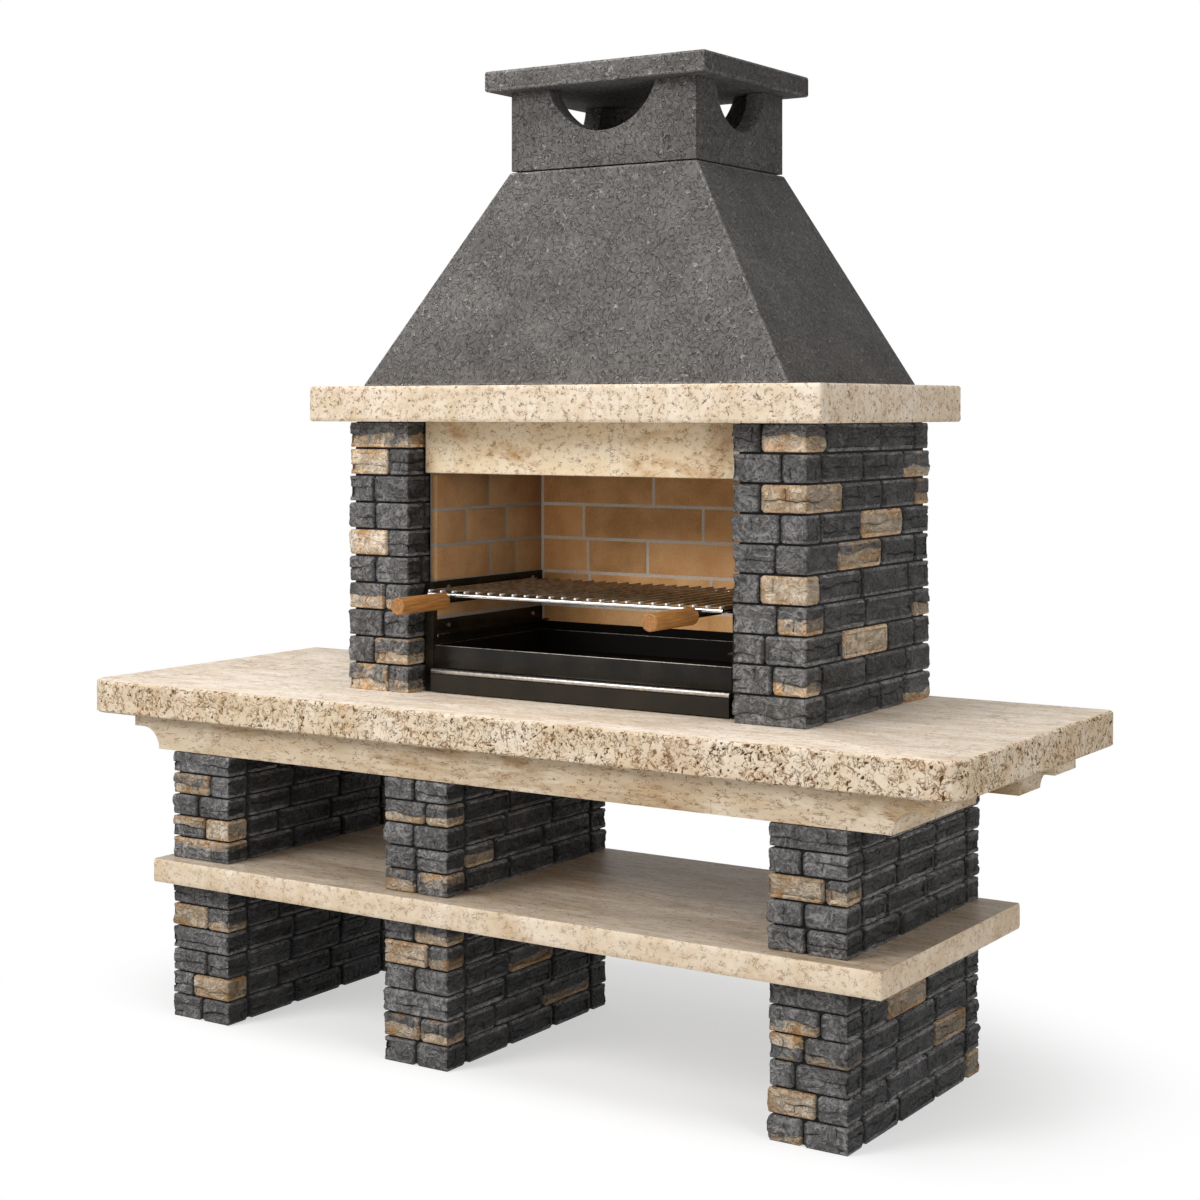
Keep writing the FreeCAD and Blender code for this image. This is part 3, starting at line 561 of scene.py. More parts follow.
# The same mortar deep in the joints, painted near black as painted shade.
core_mortar = make_mottled("dark_joint_mortar", 4, 2.0, (0.3, "#121213"), (0.7, "#202021"), roughness=0.95)
CORE_INSET = Vector((15, 18.5, 0.3)) * MM  # behind the deepest point of a riven face
for node in FRONT_PAIRS:
    low, high = corners(node)
    core = block(node + "_core", low + CORE_INSET, high - CORE_INSET)
    ease_edges(core, 4 * MM)
    core.data.materials.append(core_mortar)
    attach(core, "root")

# %% [markdown]
# ## Travertine
# Travertine is a limestone full of small holes. Sawn and honed flat it is cream with thin brown veins. Where the
# edge is bush-hammered the holes open up into a crust of curls and pits. The slabs share one recipe. How
# deep a point lies in a pit is kept as an attribute, so the pits can be darker than the ground.

# %% Material: travertine
def make_travertine(name, ground, stretch, gloss, strokes, stains, sparse, veins=0.0, pores=1.0,
                    tint="#b58750", ink="#7d5730"):
    # Limestone: cream clouds, brown curls in two sizes, stains a hand wide, dark open pores and, where it is
    # sawn flat, hairline veins as long as an arm. stretch draws the bedding out, and sparse thins the curls.
    material, tree, place = new_material(name, ior=1.52, specular=0.12)
    pit = add(tree, "Attribute", attribute_name="pit").outputs["Fac"]
    bored = add(tree, "MapRange", span(pit, 0.42, 0.72))
    bed = add(tree, "Mapping", {"Vector": place, "Rotation": (0.0, 0.0, 0.3), "Scale": stretch})
    cloud = add(tree, "TexNoise", pattern(bed, 110, 6.0, 0.62))
    curl = add(tree, "TexNoise", pattern(bed, 24, 1.5, distortion=1.2))
    fine = add(tree, "TexNoise", pattern(bed, 14, 1.0, distortion=0.8))
    broken = add(tree, "TexNoise", pattern(bed, 19, 2.0))
    pore = add(tree, "TexNoise", pattern(place, 9, 2.0, 0.6))
    stain = add(tree, "TexNoise", pattern(bed, 190, 6.0, 0.68, 0.5))
    blush = add(tree, "TexNoise", pattern(bed, 40, 3.0))
    vein = add(tree, "TexNoise", pattern(place, 520, 7.0, 0.55))
    base = add(tree, "ValToRGB", [cloud], [(0.32, ground[0]), (0.5, ground[1]), (0.68, ground[2])])
    soaked = add(tree, "MapRange", span(stain, 0.5, 0.7, 0.0, stains))
    warm = add(tree, "Mix", {0: soaked, 6: base, 7: tint}, data_type="RGBA")
    peach = add(tree, "MapRange", span(blush, 0.5, 0.7, 0.0, 0.28 * strokes))
    tinted = add(tree, "Mix", {0: peach, 6: warm, 7: "#cfa877"}, data_type="RGBA")
    lines = [add(tree, "ValToRGB", [source], [(0.5 - wide, 0), (0.5, 1), (0.5 + wide, 0)])
             for source, wide in ((curl, 0.04), (fine, 0.045), (vein, 0.006))]
    both = add(tree, "Math", [lines[0], lines[1]], operation="MAXIMUM")
    short = add(tree, "MapRange", span(broken, sparse - 0.07, sparse + 0.07, 0.0, strokes))
    stroke = add(tree, "Math", [both, short], operation="MULTIPLY")
    hair = add(tree, "Math", [lines[2], veins, stroke], operation="MULTIPLY_ADD", use_clamp=True)
    inked = add(tree, "Mix", {0: hair, 6: tinted, 7: ink}, data_type="RGBA")
    hole = add(tree, "MapRange", span(pore, 0.63, 0.69, 0.0, pores * strokes))
    sunk = add(tree, "Math", [hole, bored], operation="MAXIMUM", use_clamp=True)
    body = add(tree, "Mix", {0: sunk, 6: inked, 7: "#573a1c"}, data_type="RGBA")
    rough = add(tree, "MapRange", span(cloud, 0.0, 1.0, gloss - 0.06, gloss + 0.1))
    worn = add(tree, "Math", [stroke, sunk], operation="ADD")
    bump = add(tree, "Bump", {"Height": worn, "Strength": 0.5, "Distance": 1.5 * MM}, invert=True)
    return connect(material, base_color=body, roughness=rough, normal=bump)


FINISHES = {
    "honed": dict(ground=("#d2c1ab", "#e2d4c2", "#ece2d5"), stretch=(0.7, 2.6, 2.6), gloss=0.55, strokes=0.5,
                  stains=0.32, sparse=0.52, veins=0.35),
    # Painted shade: the shelf's ground is painted darker than the worktop's, for the shade under the worktop
    "shelf": dict(ground=("#ae9e89", "#c3b4a1", "#d4c8b8"), stretch=(0.4, 2.6, 2.6), gloss=0.42, strokes=0.6,
                  stains=0.5, sparse=0.5, veins=0.2),
    "hammered": dict(ground=("#d2bea0", "#dfceb5", "#e9dcc9"), stretch=(1.0, 1.0, 1.0), gloss=0.7, strokes=1.0,
                     stains=0.3, sparse=0.46),
    "picked": dict(ground=("#d6c3a8", "#e2d1ba", "#ebddcb"), stretch=(1.6, 1.6, 1.6), gloss=0.65, strokes=0.85,
                   stains=0.2, sparse=0.55, pores=0.8),
    "sawn": dict(ground=("#d3bea2", "#dfcdb4", "#e8dac6"), stretch=(1.2, 1.2, 1.4), gloss=0.5, strokes=0.6,
                 stains=0.3, sparse=0.53, pores=0.5),
    "banded": dict(ground=("#c6b093", "#d4c2a8", "#e0d1ba"), stretch=(0.6, 1.0, 2.0), gloss=0.5, strokes=0.75,
                   stains=0.9, sparse=0.53, tint="#9d7c52"),
    "blotched": dict(ground=("#e6cca6", "#efdbba", "#f5e6cd"), stretch=(1.1, 1.0, 1.6), gloss=0.5, strokes=0.75,
                     stains=1.0, sparse=0.55, tint="#b9843f", ink="#7f4f22", pores=0.4),
}
travertine = {finish: make_travertine(finish + "_travertine", **values) for finish, values in FINISHES.items()}
print("travertine in", len(travertine), "finishes")

# %% [markdown]
# ## Slabs with a pitted edge
# A slab starts as a flat sheet. Its corners are rounded, the outline is cut into short pieces, and the outline
# is pulled down in many small steps, so that the edge is a fine mesh. Top and bottom close it. The edge is then
# eaten away by curls, the thin lines where a noise changes sign, which is the crust of hammered travertine.

# %% A slab: rounded outline, drawn down in rings
HALVINGS = 12  # enough to cut the longest side into short pieces


def slab_outline(name, node, front_round, back_round, step):
    low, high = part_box(node)
    deselect_all()
    bpy.ops.mesh.primitive_plane_add(size=1, location=((low[0] + high[0]) / 2, (low[1] + high[1]) / 2, high[2]))
    slab = bpy.context.object
    slab.name = name
    slab.scale = (high[0] - low[0], high[1] - low[1], 1)
    settle(slab)
    middle = (low[1] + high[1]) / 2
    for radius, front in ((front_round, True), (back_round, False)):
        select(slab, "VERT", lambda vertex: (vertex.co.y < middle) == front)
        bpy.ops.mesh.bevel(affect="VERTICES", offset=radius, segments=10)
    select(slab, "FACE", lambda face: True)
    bpy.ops.mesh.delete(type="ONLY_FACE")
    for _ in range(HALVINGS):
        select(slab, "EDGE", lambda edge: edge.calc_length() > 1.5 * step)
        bpy.ops.mesh.subdivide(number_cuts=1)
    return slab


def draw_down(slab, node, rings):
    """Pulls the outline down in rings and closes the top and the bottom."""
    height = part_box(node)[1][2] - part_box(node)[0][2]
    select(slab, "EDGE", lambda edge: True)
    top = bmesh.from_edit_mesh(slab.data).verts[:][0].co.z
    for _ in range(rings):
        bpy.ops.mesh.extrude_region_move(TRANSFORM_OT_translate={"value": (0, 0, -height / rings)})
    for level in (top, top - height):
        select(slab, "EDGE", lambda edge: all(abs(vertex.co.z - level) < 0.1 * MM for vertex in edge.verts))
        bpy.ops.mesh.edge_face_add()
    bpy.ops.mesh.select_all(action="SELECT")
    bpy.ops.mesh.normals_make_consistent(inside=False)
    deselect_all()


def curls(spot, size, drift):
    """0 on plain ground, up to 1 along thin curling lines and in round pits."""
    swirl = noise.noise_vector(spot * (0.5 / size)) * (0.4 * size)
    line = abs(noise.noise((spot + swirl) / size + drift))
    patch = 0.5 + 1.3 * noise.noise(spot / (2.2 * size) - drift)
    pit = noise.noise(spot / (0.6 * size) + drift)
    groove = max(0.0, 1 - line / 0.14) * min(max(patch, 0.0), 1.0)
    return min(max(groove, 3.2 * (pit - 0.38)), 1.0)


def weather_edge(slab, arris, depth, size, dark, seam=None):
    """Rounds the arrises of a slab and sinks pits into its edge. How dark they look is kept as an attribute.

    dark is the strength of that, and seam the place along x of an upright joint in the front edge.
    """
    mesh = slab.data
    top = max(vertex.co.z for vertex in mesh.vertices)
    bottom = min(vertex.co.z for vertex in mesh.vertices)
    sides = {index for face in mesh.polygons if abs(face.normal.z) < 0.5 for index in face.vertices}
    outward = {index: Vector((0, 0, 0)) for index in sides}
    for face in mesh.polygons:
        if abs(face.normal.z) < 0.5:
            for index in face.vertices:
                outward[index] += face.normal
    drift = Vector((7.3, 1.9, 4.1))
    sunk = np.zeros(len(mesh.vertices), dtype=np.float32)
    for index in sides:
        vertex = mesh.vertices[index]
        normal = outward[index].normalized()
        margin = min(top - vertex.co.z, vertex.co.z - bottom)
        lift = max(0.0, 1 - margin / arris)
        hollow = curls(vertex.co, size, drift)
        if seam is not None and abs(vertex.co.x - seam) < 1.9 * MM and normal.y < -0.9:
            hollow = max(hollow, 0.45)
        sunk[index] = hollow * (0.9 + 0.14 * vertex.co.x) if lift < 0.9 else 0.0  # darker to the right
        wave = 0.5 + 0.5 * noise.noise(vertex.co / (2.2 * size) + drift)
        rounded = arris * (1 - math.sqrt(max(0.0, 1 - lift * lift)))
        vertex.co -= normal * (rounded + (depth * hollow + 0.4 * depth * wave) * (1 - lift))
    keep(slab, "pit", "POINT", sunk * dark)
    smooth(slab, 50)


print("slab tools ready")

# %% Worktop, mantel and shelf
def two_finish_slab(slab, flat, edge, node):
    """The flat faces have one finish and the edge has another."""
    finish_piece(slab, travertine[flat], "root", "travertine", node)
    slab.data.materials.append(travertine[edge])
    for face in slab.data.polygons:
        face.material_index = 0 if abs(face.normal.z) > 0.7 and len(face.vertices) > 4 else 1


worktop = slab_outline("worktop_travertine", "worktop_slab", 55 * MM, 15 * MM, 3.6 * MM)
draw_down(worktop, "worktop_slab", 20)
weather_edge(worktop, 6 * MM, 3.2 * MM, 11 * MM, 1.08, seam=1.012)
two_finish_slab(worktop, "honed", "hammered", "worktop_slab")

mantel = slab_outline("mantel_travertine", "mantel_slab", 8 * MM, 8 * MM, 4.5 * MM)
draw_down(mantel, "mantel_slab", 17)
weather_edge(mantel, 4 * MM, 1.8 * MM, 9 * MM, 0.75)
THROAT = (-0.298, -0.080, 1.30), (0.500, 0.283, 1.45)  # where the smoke rises into the hood
carve(mantel, block("throat_cutter", *THROAT))
two_finish_slab(mantel, "honed", "picked", "mantel_slab")

shelf = slab_outline("shelf_travertine", "shelf_slab", 5 * MM, 5 * MM, 6 * MM)
draw_down(shelf, "shelf_slab", 9)
weather_edge(shelf, 2 * MM, 0.5 * MM, 7 * MM, 0.6)
two_finish_slab(shelf, "shelf", "sawn", "shelf_slab")

# %% [markdown]
# ## Bearers with moulded ends
# Two travertine bearers carry the worktop. Their ends step back under the top edge and then curve in, a cove as a
# profiled saw leaves it. A full block is made first. A drum takes the cove and a block clears what is below.

# %% Bearers
FILLET, LEDGE, COVE = 28 * MM, 28 * MM, 47 * MM
CLEAR = 0.1  # how far a cutter reaches past what it cuts


def bearer(name, node):
    low, high = corners(node)
    piece = block(name, low, high)
    for end, inward in ((low.x, 1), (high.x, -1)):
        near, far = sorted((end - inward * 10 * MM, end + inward * LEDGE))
        carve(piece, block("ledge_cutter", (near, low.y - CLEAR, low.z - CLEAR),
                           (far, high.y + CLEAR, high.z - FILLET)))
        centre = (end + inward * LEDGE, (low.y + high.y) / 2, low.z)
        carve(piece, drum("cove_cutter", centre, COVE, 1.0, "y", 64))
    ease_edges(piece, 2.2 * MM, 3)
    smooth(piece)
    finish_piece(piece, travertine["banded"], "root", "travertine", node)


bearer("front_bearer", "front_beam")
bearer("rear_bearer", "rear_beam")

lintel = block("lintel_travertine", *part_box("lintel_panel"))
ease_edges(lintel, 3 * MM, 3)
smooth(lintel)
finish_piece(lintel, travertine["blotched"], "root", "travertine", "lintel_panel")

# %% [markdown]
# ## Hood, collar and cap
# The smoke hood is cast in dark concrete and trowelled, which leaves a skin of short worm-like marks. A cube
# is narrowed at the top, and a smaller one is cut out of it, so the hood is the shell that it really is. The collar
# gets its half-moon vents from drums, as a mould's cores would make them.

# %% Material: trowelled dark concrete
def make_dark_concrete(name, dark, middle, pale):
    # Pigmented concrete: matt warm grey, worm-like ridges from the trowel 10 to 15 mm apart, each crest painted
    # pale and a ditch beside it painted dark as painted highlight and shade, and a fine dusty grit over all. The
    # attribute says how much painted shade a side gets.
    material, tree, place = new_material(name, roughness=0.84, ior=1.5, specular=0.25)
    cloud = add(tree, "TexNoise", pattern(place, 120, 6.0, 0.65))
    tone = add(tree, "Attribute", attribute_name="tone").outputs["Fac"]
    worm = add(tree, "TexNoise", pattern(place, 15, 0.5, distortion=0.7))
    short = add(tree, "TexNoise", pattern(place, 10, 0.5, distortion=0.5))
    patchy = add(tree, "TexNoise", pattern(place, 30, 2.0))
    grit = add(tree, "TexNoise", pattern(place, 9, 4.0, 0.72))
    painted_crest_light_ditch_shade = [(0.42, 0.3), (0.46, 0.35), (0.5, 1), (0.535, 0.1), (0.56, 0), (0.6, 0.3)]
    ridges = [add(tree, "ValToRGB", [source], painted_crest_light_ditch_shade) for source in (worm, short)]
    some = add(tree, "MapRange", span(patchy, 0.44, 0.56))
    mark = add(tree, "Mix", {0: some, 6: ridges[0], 7: ridges[1]}, data_type="RGBA")
    base = add(tree, "ValToRGB", [cloud], [(0.3, dark), (0.5, middle), (0.7, pale)])
    # Painted highlight and shade: crests are painted up to 2.7 times paler, ditches down to about a third
    lift = add(tree, "MapRange", span(mark, 0.0, 1.0, 0.36, 2.7))
    dust = add(tree, "MapRange", span(grit, 0.32, 0.68, 0.68, 1.32))
    shade = add(tree, "Math", [lift, dust], operation="MULTIPLY")
    own = add(tree, "Math", [tone, shade], operation="MULTIPLY")
    body = add(tree, "VectorMath", [base, own], operation="MULTIPLY")
    height = add(tree, "Math", [mark, grit], operation="ADD")
    bump = add(tree, "Bump", {"Height": height, "Strength": 1.0, "Distance": 4 * MM})
    return connect(material, base_color=body, normal=bump)


dark_concrete = make_dark_concrete("trowelled_dark_concrete", "#565351", "#615e5c", "#6d6a67")
# A paler copy of the concrete for the edges: painted highlight
arris_highlight_concrete = make_dark_concrete("concrete_arris_highlight", "#6b6865", "#787572", "#85827f")
print(dark_concrete.name, arris_highlight_concrete.name)


# %% Hood, collar and cap
NARROW_FACE = 0.003  # square metres; the eased edges are smaller
FRONT_MOON, SIDE_MOON = (2.100, 143 * MM), (2.063, 106 * MM)  # height of the centre and radius


def tapered(name, bottom, top, foot, head):
    """A block whose top is smaller than its bottom. bottom and top are x0, y0, x1, y1."""
    piece = block(name, (bottom[0], bottom[1], foot), (bottom[2], bottom[3], head))
    select(piece, "FACE", lambda face: face.normal.z > 0.5)
    scale = ((top[2] - top[0]) / (bottom[2] - bottom[0]), (top[3] - top[1]) / (bottom[3] - bottom[1]), 1)
    centre = ((bottom[0] + bottom[2]) / 2, (bottom[1] + bottom[3]) / 2, head)
    bpy.ops.transform.resize(value=scale, center_override=centre)
    shift = ((top[0] + top[2]) / 2 - centre[0], (top[1] + top[3]) / 2 - centre[1], 0)
    bpy.ops.transform.translate(value=shift)
    deselect_all()
    return piece


def paint_side_shade(piece, shade):
    """Keeps a tone for every face: the sides, which face left and right, are painted darker as painted shade."""
    keep(piece, "tone", "FACE", [1 - shade * abs(face.normal.x) for face in piece.data.polygons])


def paint_arris_highlight(piece):
    """The narrow faces along the edges are painted paler than the rest, a painted highlight."""
    piece.data.materials.append(arris_highlight_concrete)
    for face in piece.data.polygons:
        face.material_index = 1 if face.area < NARROW_FACE else 0


def shrunk(plan, by=40 * MM):
    """A plan that lies inside another by the thickness of the hood's wall."""
    return (plan[0] + by, plan[1] + by, plan[2] - by, plan[3] - by)


hood_low, hood_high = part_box("hood")
foot_plan = (hood_low[0], hood_low[1], hood_high[0], hood_high[1])
head_plan = (-0.1365, -0.047, 0.3385, 0.337)  # under the collar
hood = tapered("concrete_hood", foot_plan, head_plan, hood_low[2], hood_high[2])
carve(hood, tapered("hood_core", shrunk(foot_plan), shrunk(head_plan), hood_low[2] - MM, hood_high[2] + MM))
ease_edges(hood, 5 * MM, 3)
smooth(hood)
finish_piece(hood, dark_concrete, "root", "dark_concrete", "hood")
paint_side_shade(hood, 0.45)
paint_arris_highlight(hood)

collar_low, collar_high = corners("chimney_collar")
collar = block("concrete_collar", collar_low + Vector((0, 0, 3 * MM)), collar_high)
inset = Vector((45 * MM, 45 * MM, -0.1))
carve(collar, block("flue_cutter", collar_low + inset, collar_high - inset))
middle = (collar_low + collar_high) / 2
for name, (height, radius), along in (("front_moon", FRONT_MOON, "y"), ("side_moon", SIDE_MOON, "x")):
    carve(collar, drum(name, (middle.x, middle.y, height), radius, 1.0, along, 72))
ease_edges(collar, 3.5 * MM, 2)
smooth(collar)
finish_piece(collar, dark_concrete, "root", "dark_concrete", "chimney_collar")
paint_side_shade(collar, 0.3)

cap = block("concrete_cap", *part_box("chimney_cap"))
ease_edges(cap, 6 * MM, 3)
smooth(cap)
finish_piece(cap, dark_concrete, "root", "dark_concrete", "chimney_cap")
paint_side_shade(cap, 0.45)
paint_arris_highlight(cap)

# %% [markdown]
# ## Fire bricks
# The firebox is lined with buff fire bricks in a broken bond, with grey joints almost flush. A brick is a cube with
# small eased edges, modelled once and stretched to each place. Each brick has its own tone.

# %% Material: fire brick
def make_fire_brick():
    # Pressed fireclay: buff, fine pores, a little soot cloud.
    material, tree, place = new_material("fire_brick", roughness=0.85)
    tone = add(tree, "Attribute", attribute_name="tone").outputs["Fac"]
    cloud = add(tree, "TexNoise", pattern(place, 80, 5.0))
    pore = add(tree, "TexNoise", pattern(place, 4, 3.0))
    base = add(tree, "ValToRGB", [cloud], [(0.3, "#b48553"), (0.5, "#c49563"), (0.7, "#d2a472")])
    dots = add(tree, "MapRange", span(pore, 0.3, 0.7, 0.88, 1.1))
    shade = add(tree, "Math", [tone, dots], operation="MULTIPLY")
    body = add(tree, "VectorMath", [base, shade], operation="MULTIPLY")
    bump = add(tree, "Bump", {"Height": pore, "Strength": 0.4, "Distance": 0.8 * MM})
    return connect(material, base_color=body, normal=bump)


fire_brick = make_fire_brick()
brick_master = block("brick_master", (-0.5, -0.5, -0.5), (0.5, 0.5, 0.5))
MASTER_EASE = 0.02
modify(brick_master, "BEVEL", width=MASTER_EASE, segments=2)
brick_grid = np.array([vertex.co[:] for vertex in brick_master.data.vertices])
brick_faces = [face.vertices[:] for face in brick_master.data.polygons]
bpy.data.objects.remove(brick_master)
print("brick:", len(brick_faces), "faces")

# %% Line the firebox
BRICK_EASE = 2 * MM
BRICK_JOINT = 7 * MM
BRICK_TONES = 0.88, 1.1
CORNER_JOINT = 22 * MM  # where the back wall meets the side walls
SIDE_RUNS = [(0.50, 0.50), (0.30, 0.35, 0.35), (0.51, 0.49), (0.50, 0.245, 0.255),
             (0.275, 0.375, 0.35), (0.49, 0.51)]
BACK_RUNS = [(0.20, 0.40, 0.40), (0.41, 0.40, 0.19), (0.19, 0.41, 0.40), (0.185, 0.205, 0.40, 0.21),
             (0.17, 0.405, 0.425), (0.41, 0.40, 0.19)]


def laid_brick(low, high):
    """A copy of the brick between two corners, its eased edges kept at their own width."""
    half = (np.array(high) - np.array(low)) / 2
    near = np.abs(brick_grid)
    points = np.sign(brick_grid) * (half - (0.5 - near) * BRICK_EASE / MASTER_EASE)
    return (np.array(high) + np.array(low)) / 2 + points


def line_wall(name, node, runs, axis, painted_light, corner=0.0):
    """Lays one wall. Its fifth argument is painted light, how much lighter or darker its bricks are painted as the
    light falls on that wall; corner is the joint at each end.
    """
    low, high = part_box(node)
    dice = random.Random(node)
    rise = (high[2] - low[2]) / len(runs)
    points, tones = [], []
    for row, shares in enumerate(runs):
        start = low[axis]
        for share in shares:
            end = start + share * (high[axis] - low[axis])
            corner_low, corner_high = list(low), list(high)
            corner_low[axis] = start + (BRICK_JOINT / 2 if start > low[axis] + MM else corner)
            corner_high[axis] = end - (BRICK_JOINT / 2 if end < high[axis] - MM else corner)
            corner_low[2] = low[2] + row * rise + (BRICK_JOINT / 2 if row else 0)
            corner_high[2] = low[2] + (row + 1) * rise - (BRICK_JOINT / 2 if row < len(runs) - 1 else 0)
            points.append(laid_brick(corner_low, corner_high))
            tones.append(np.full(len(brick_grid), painted_light * dice.uniform(*BRICK_TONES)))
            start = end
    wall = build_piece(name, points, brick_faces, {"tone": tones})
    smooth(wall)
    finish_piece(wall, fire_brick, "root", "firebrick", node)


# Painted light: the left wall, in shade, is painted darker and the back wall brighter
line_wall("left_fire_bricks", "left_brick_lining", SIDE_RUNS, 1, 0.74)
line_wall("right_fire_bricks", "right_brick_lining", SIDE_RUNS, 1, 1.0)
line_wall("back_fire_bricks", "back_brick_lining", BACK_RUNS, 0, 1.9, CORNER_JOINT)


# %% Pointing between the bricks
POINTING_BACK = 1.5 * MM  # behind the faces of the bricks


def point_joints(name, bed, bricks, face_axis, face_sign, painted_light):
    """A mortar bed that reaches to just behind the faces of the bricks. Its last argument is painted light, how
    much lighter or darker the mortar is painted as the light falls on that wall.
    """
    low, high = corners(bed)
    brick_low, brick_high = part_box(bricks)
    if face_sign > 0:
        high[face_axis] = brick_high[face_axis] - POINTING_BACK
    else:
        low[face_axis] = brick_low[face_axis] + POINTING_BACK
    if face_axis == 0:
        low.y = brick_low[1] + POINTING_BACK
    bed_piece = block(name, low, high)
    ease_edges(bed_piece, 1 * MM, 1)
    keep(bed_piece, "tone", "POINT", [painted_light] * len(bed_piece.data.vertices))
    finish_piece(bed_piece, mortar, "root", "mortar", bed)


# Painted light: the left pointing, in shade, is painted darker and the back pointing brighter
point_joints("left_pointing", "left_mortar_bed", "left_brick_lining", 0, 1, 0.55)
point_joints("right_pointing", "right_mortar_bed", "right_brick_lining", 0, -1, 0.8)
point_joints("back_pointing", "back_mortar_bed", "back_brick_lining", 1, -1, 1.8)


# %% Plain concrete panel behind the bricks
def make_grey_concrete():
    # Shuttered concrete: cool grey, faint clouds, sand of 4 mm and a few dark air holes.
    material, tree, place = new_material("shuttered_grey_concrete", roughness=0.9)
    cloud = add(tree, "TexNoise", pattern(place, 90, 8.0, 0.72))
    hole = add(tree, "TexNoise", pattern(place, 11, 2.0))
    sand = add(tree, "TexNoise", pattern(place, 4, 3.0, 0.7))
    base = add(tree, "ValToRGB", [cloud], [(0.25, "#85837f"), (0.75, "#a3a19c")])
    speck = add(tree, "MapRange", span(sand, 0.3, 0.7, 0.8, 1.2))
    open_hole = add(tree, "MapRange", span(hole, 0.66, 0.7, 1.0, 0.45))
    shade = add(tree, "Math", [speck, open_hole], operation="MULTIPLY")
    body = add(tree, "VectorMath", [base, shade], operation="MULTIPLY")
    bump = add(tree, "Bump", {"Height": shade, "Strength": 0.6, "Distance": MM})
    return connect(material, base_color=body, normal=bump)


grey_concrete = make_grey_concrete()
panel = block("concrete_back_panel", *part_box("back_panel"))
ease_edges(panel, 3 * MM, 2)
smooth(panel)
finish_piece(panel, grey_concrete, "root", "grey_concrete", "back_panel")

# %% [markdown]
# ## Steel insert
# Posts, cheeks, rails and pans are folded from sheet and coated in black enamel. The construction model has their
# real folds, so these nodes stay and take a better material.

# %% Materials: enamel and steels
def make_enamel(name, dark, pale, gloss, shine=0.22):
    # Stove enamel on sheet steel: brown-black, glossy, with faint dust that dulls it in patches.
    return make_mottled(name, 60, 5.0, (0.35, dark), (0.7, pale), (gloss - 0.06, gloss + 0.08),
                        ior=1.5, specular=shine)


def make_steel(name, dark, pale, rough_low, rough_high, grain):
    # Bare or plated steel: metal with fine marks that change its gloss.
    return make_mottled(name, grain, 4.0, (0.35, dark), (0.65, pale), (rough_low, rough_high), metallic=1.0)


def make_rod_steel():
    # Browned grill rods, painted near white over the last centimetre or so where they sit on the front bar: a
    # painted highlight.
    material, tree, place = new_material("heat_browned_rod", metallic=0.6, roughness=0.4)
    mark = add(tree, "TexNoise", pattern(place, 20, 4.0))
    base = add(tree, "ValToRGB", [mark], [(0.35, "#86735c"), (0.65, "#b09d84")])
    along = add(tree, "SeparateXYZ", [place])
    end = add(tree, "MapRange", span(along.outputs["Y"], *ROD_END_HIGHLIGHT, 1.0, 0.0))
    body = add(tree, "Mix", {0: end, 6: base, 7: "#f2f0ec"}, data_type="RGBA")
    return connect(material, base_color=body)


ROD_END_HIGHLIGHT = [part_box("grill_rods")[0][1] + reach * MM for reach in (10, 16)]  # where it begins to fade, and ends
enamel = make_enamel("black_stove_enamel", "#14110d", "#231e16", 0.22)
satin_enamel = make_enamel("satin_brown_enamel", "#1f1a13", "#29221a", 0.42)
sooted_enamel = make_enamel("sooted_enamel", "#0b0a08", "#15120e", 0.6, 0.06)
chrome = make_steel("chromed_steel", "#bcbcbc", "#d8d8d8", 0.12, 0.24, 30)
zinc = make_steel("zinc_plated_steel", "#a8a9aa", "#d0d0cf", 0.3, 0.45, 12)
dark_steel = make_steel("dark_steel", "#2f2c2a", "#4a4643", 0.3, 0.45, 25)


def coat(material, *nodes):
    """Gives nodes of the construction model, which stay in sight, their material."""
    for node in nodes:
        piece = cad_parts[node]
        if not piece.material_slots:
            piece.data.materials.append(material)
        for slot in piece.material_slots:
            slot.material = material


coat(enamel, "left_front_post", "right_front_post", "left_cheek_plate", "right_cheek_plate",
     "upper_left_rail", "upper_right_rail", "lower_left_rail", "lower_right_rail", "drawer_runners", "tray_runners",
     "ash_drawer")
coat(satin_enamel, "drawer_front")
coat(sooted_enamel, "rear_plate")
coat(zinc, "rail_screws")
coat(chrome, "grill_frame")
coat(make_rod_steel(), "grill_rods")
coat(dark_steel, "left_handle_tang", "right_handle_tang")
print("steel coated")

# %% Half-round pull strip
PULL_ROUND = 4.2 * MM
brushed_steel = make_steel("brushed_steel", "#a29c95", "#c4beb7", 0.26, 0.42, 8)
pull_low, pull_high = corners("drawer_pull")
pull = block("steel_pull_strip", pull_low, pull_high)
select(pull, "EDGE", lambda edge: all(vertex.co.y < pull_low.y + MM for vertex in edge.verts)
       and abs(edge.verts[0].co.x - edge.verts[1].co.x) > 0.1)
bpy.ops.mesh.bevel(offset=PULL_ROUND, segments=5)
deselect_all()
ease_edges(pull, 0.5 * MM, 2)
smooth(pull)
finish_piece(pull, brushed_steel, "drawer", "chrome", "drawer_pull")

# %% [markdown]
# ## Charcoal tray
# The tray is a pan pressed from sheet. Its rim is given pale bare steel, a painted highlight for the bright line
# along it, which is what the eye finds first. A block is inset from above and pushed in to make the pan.

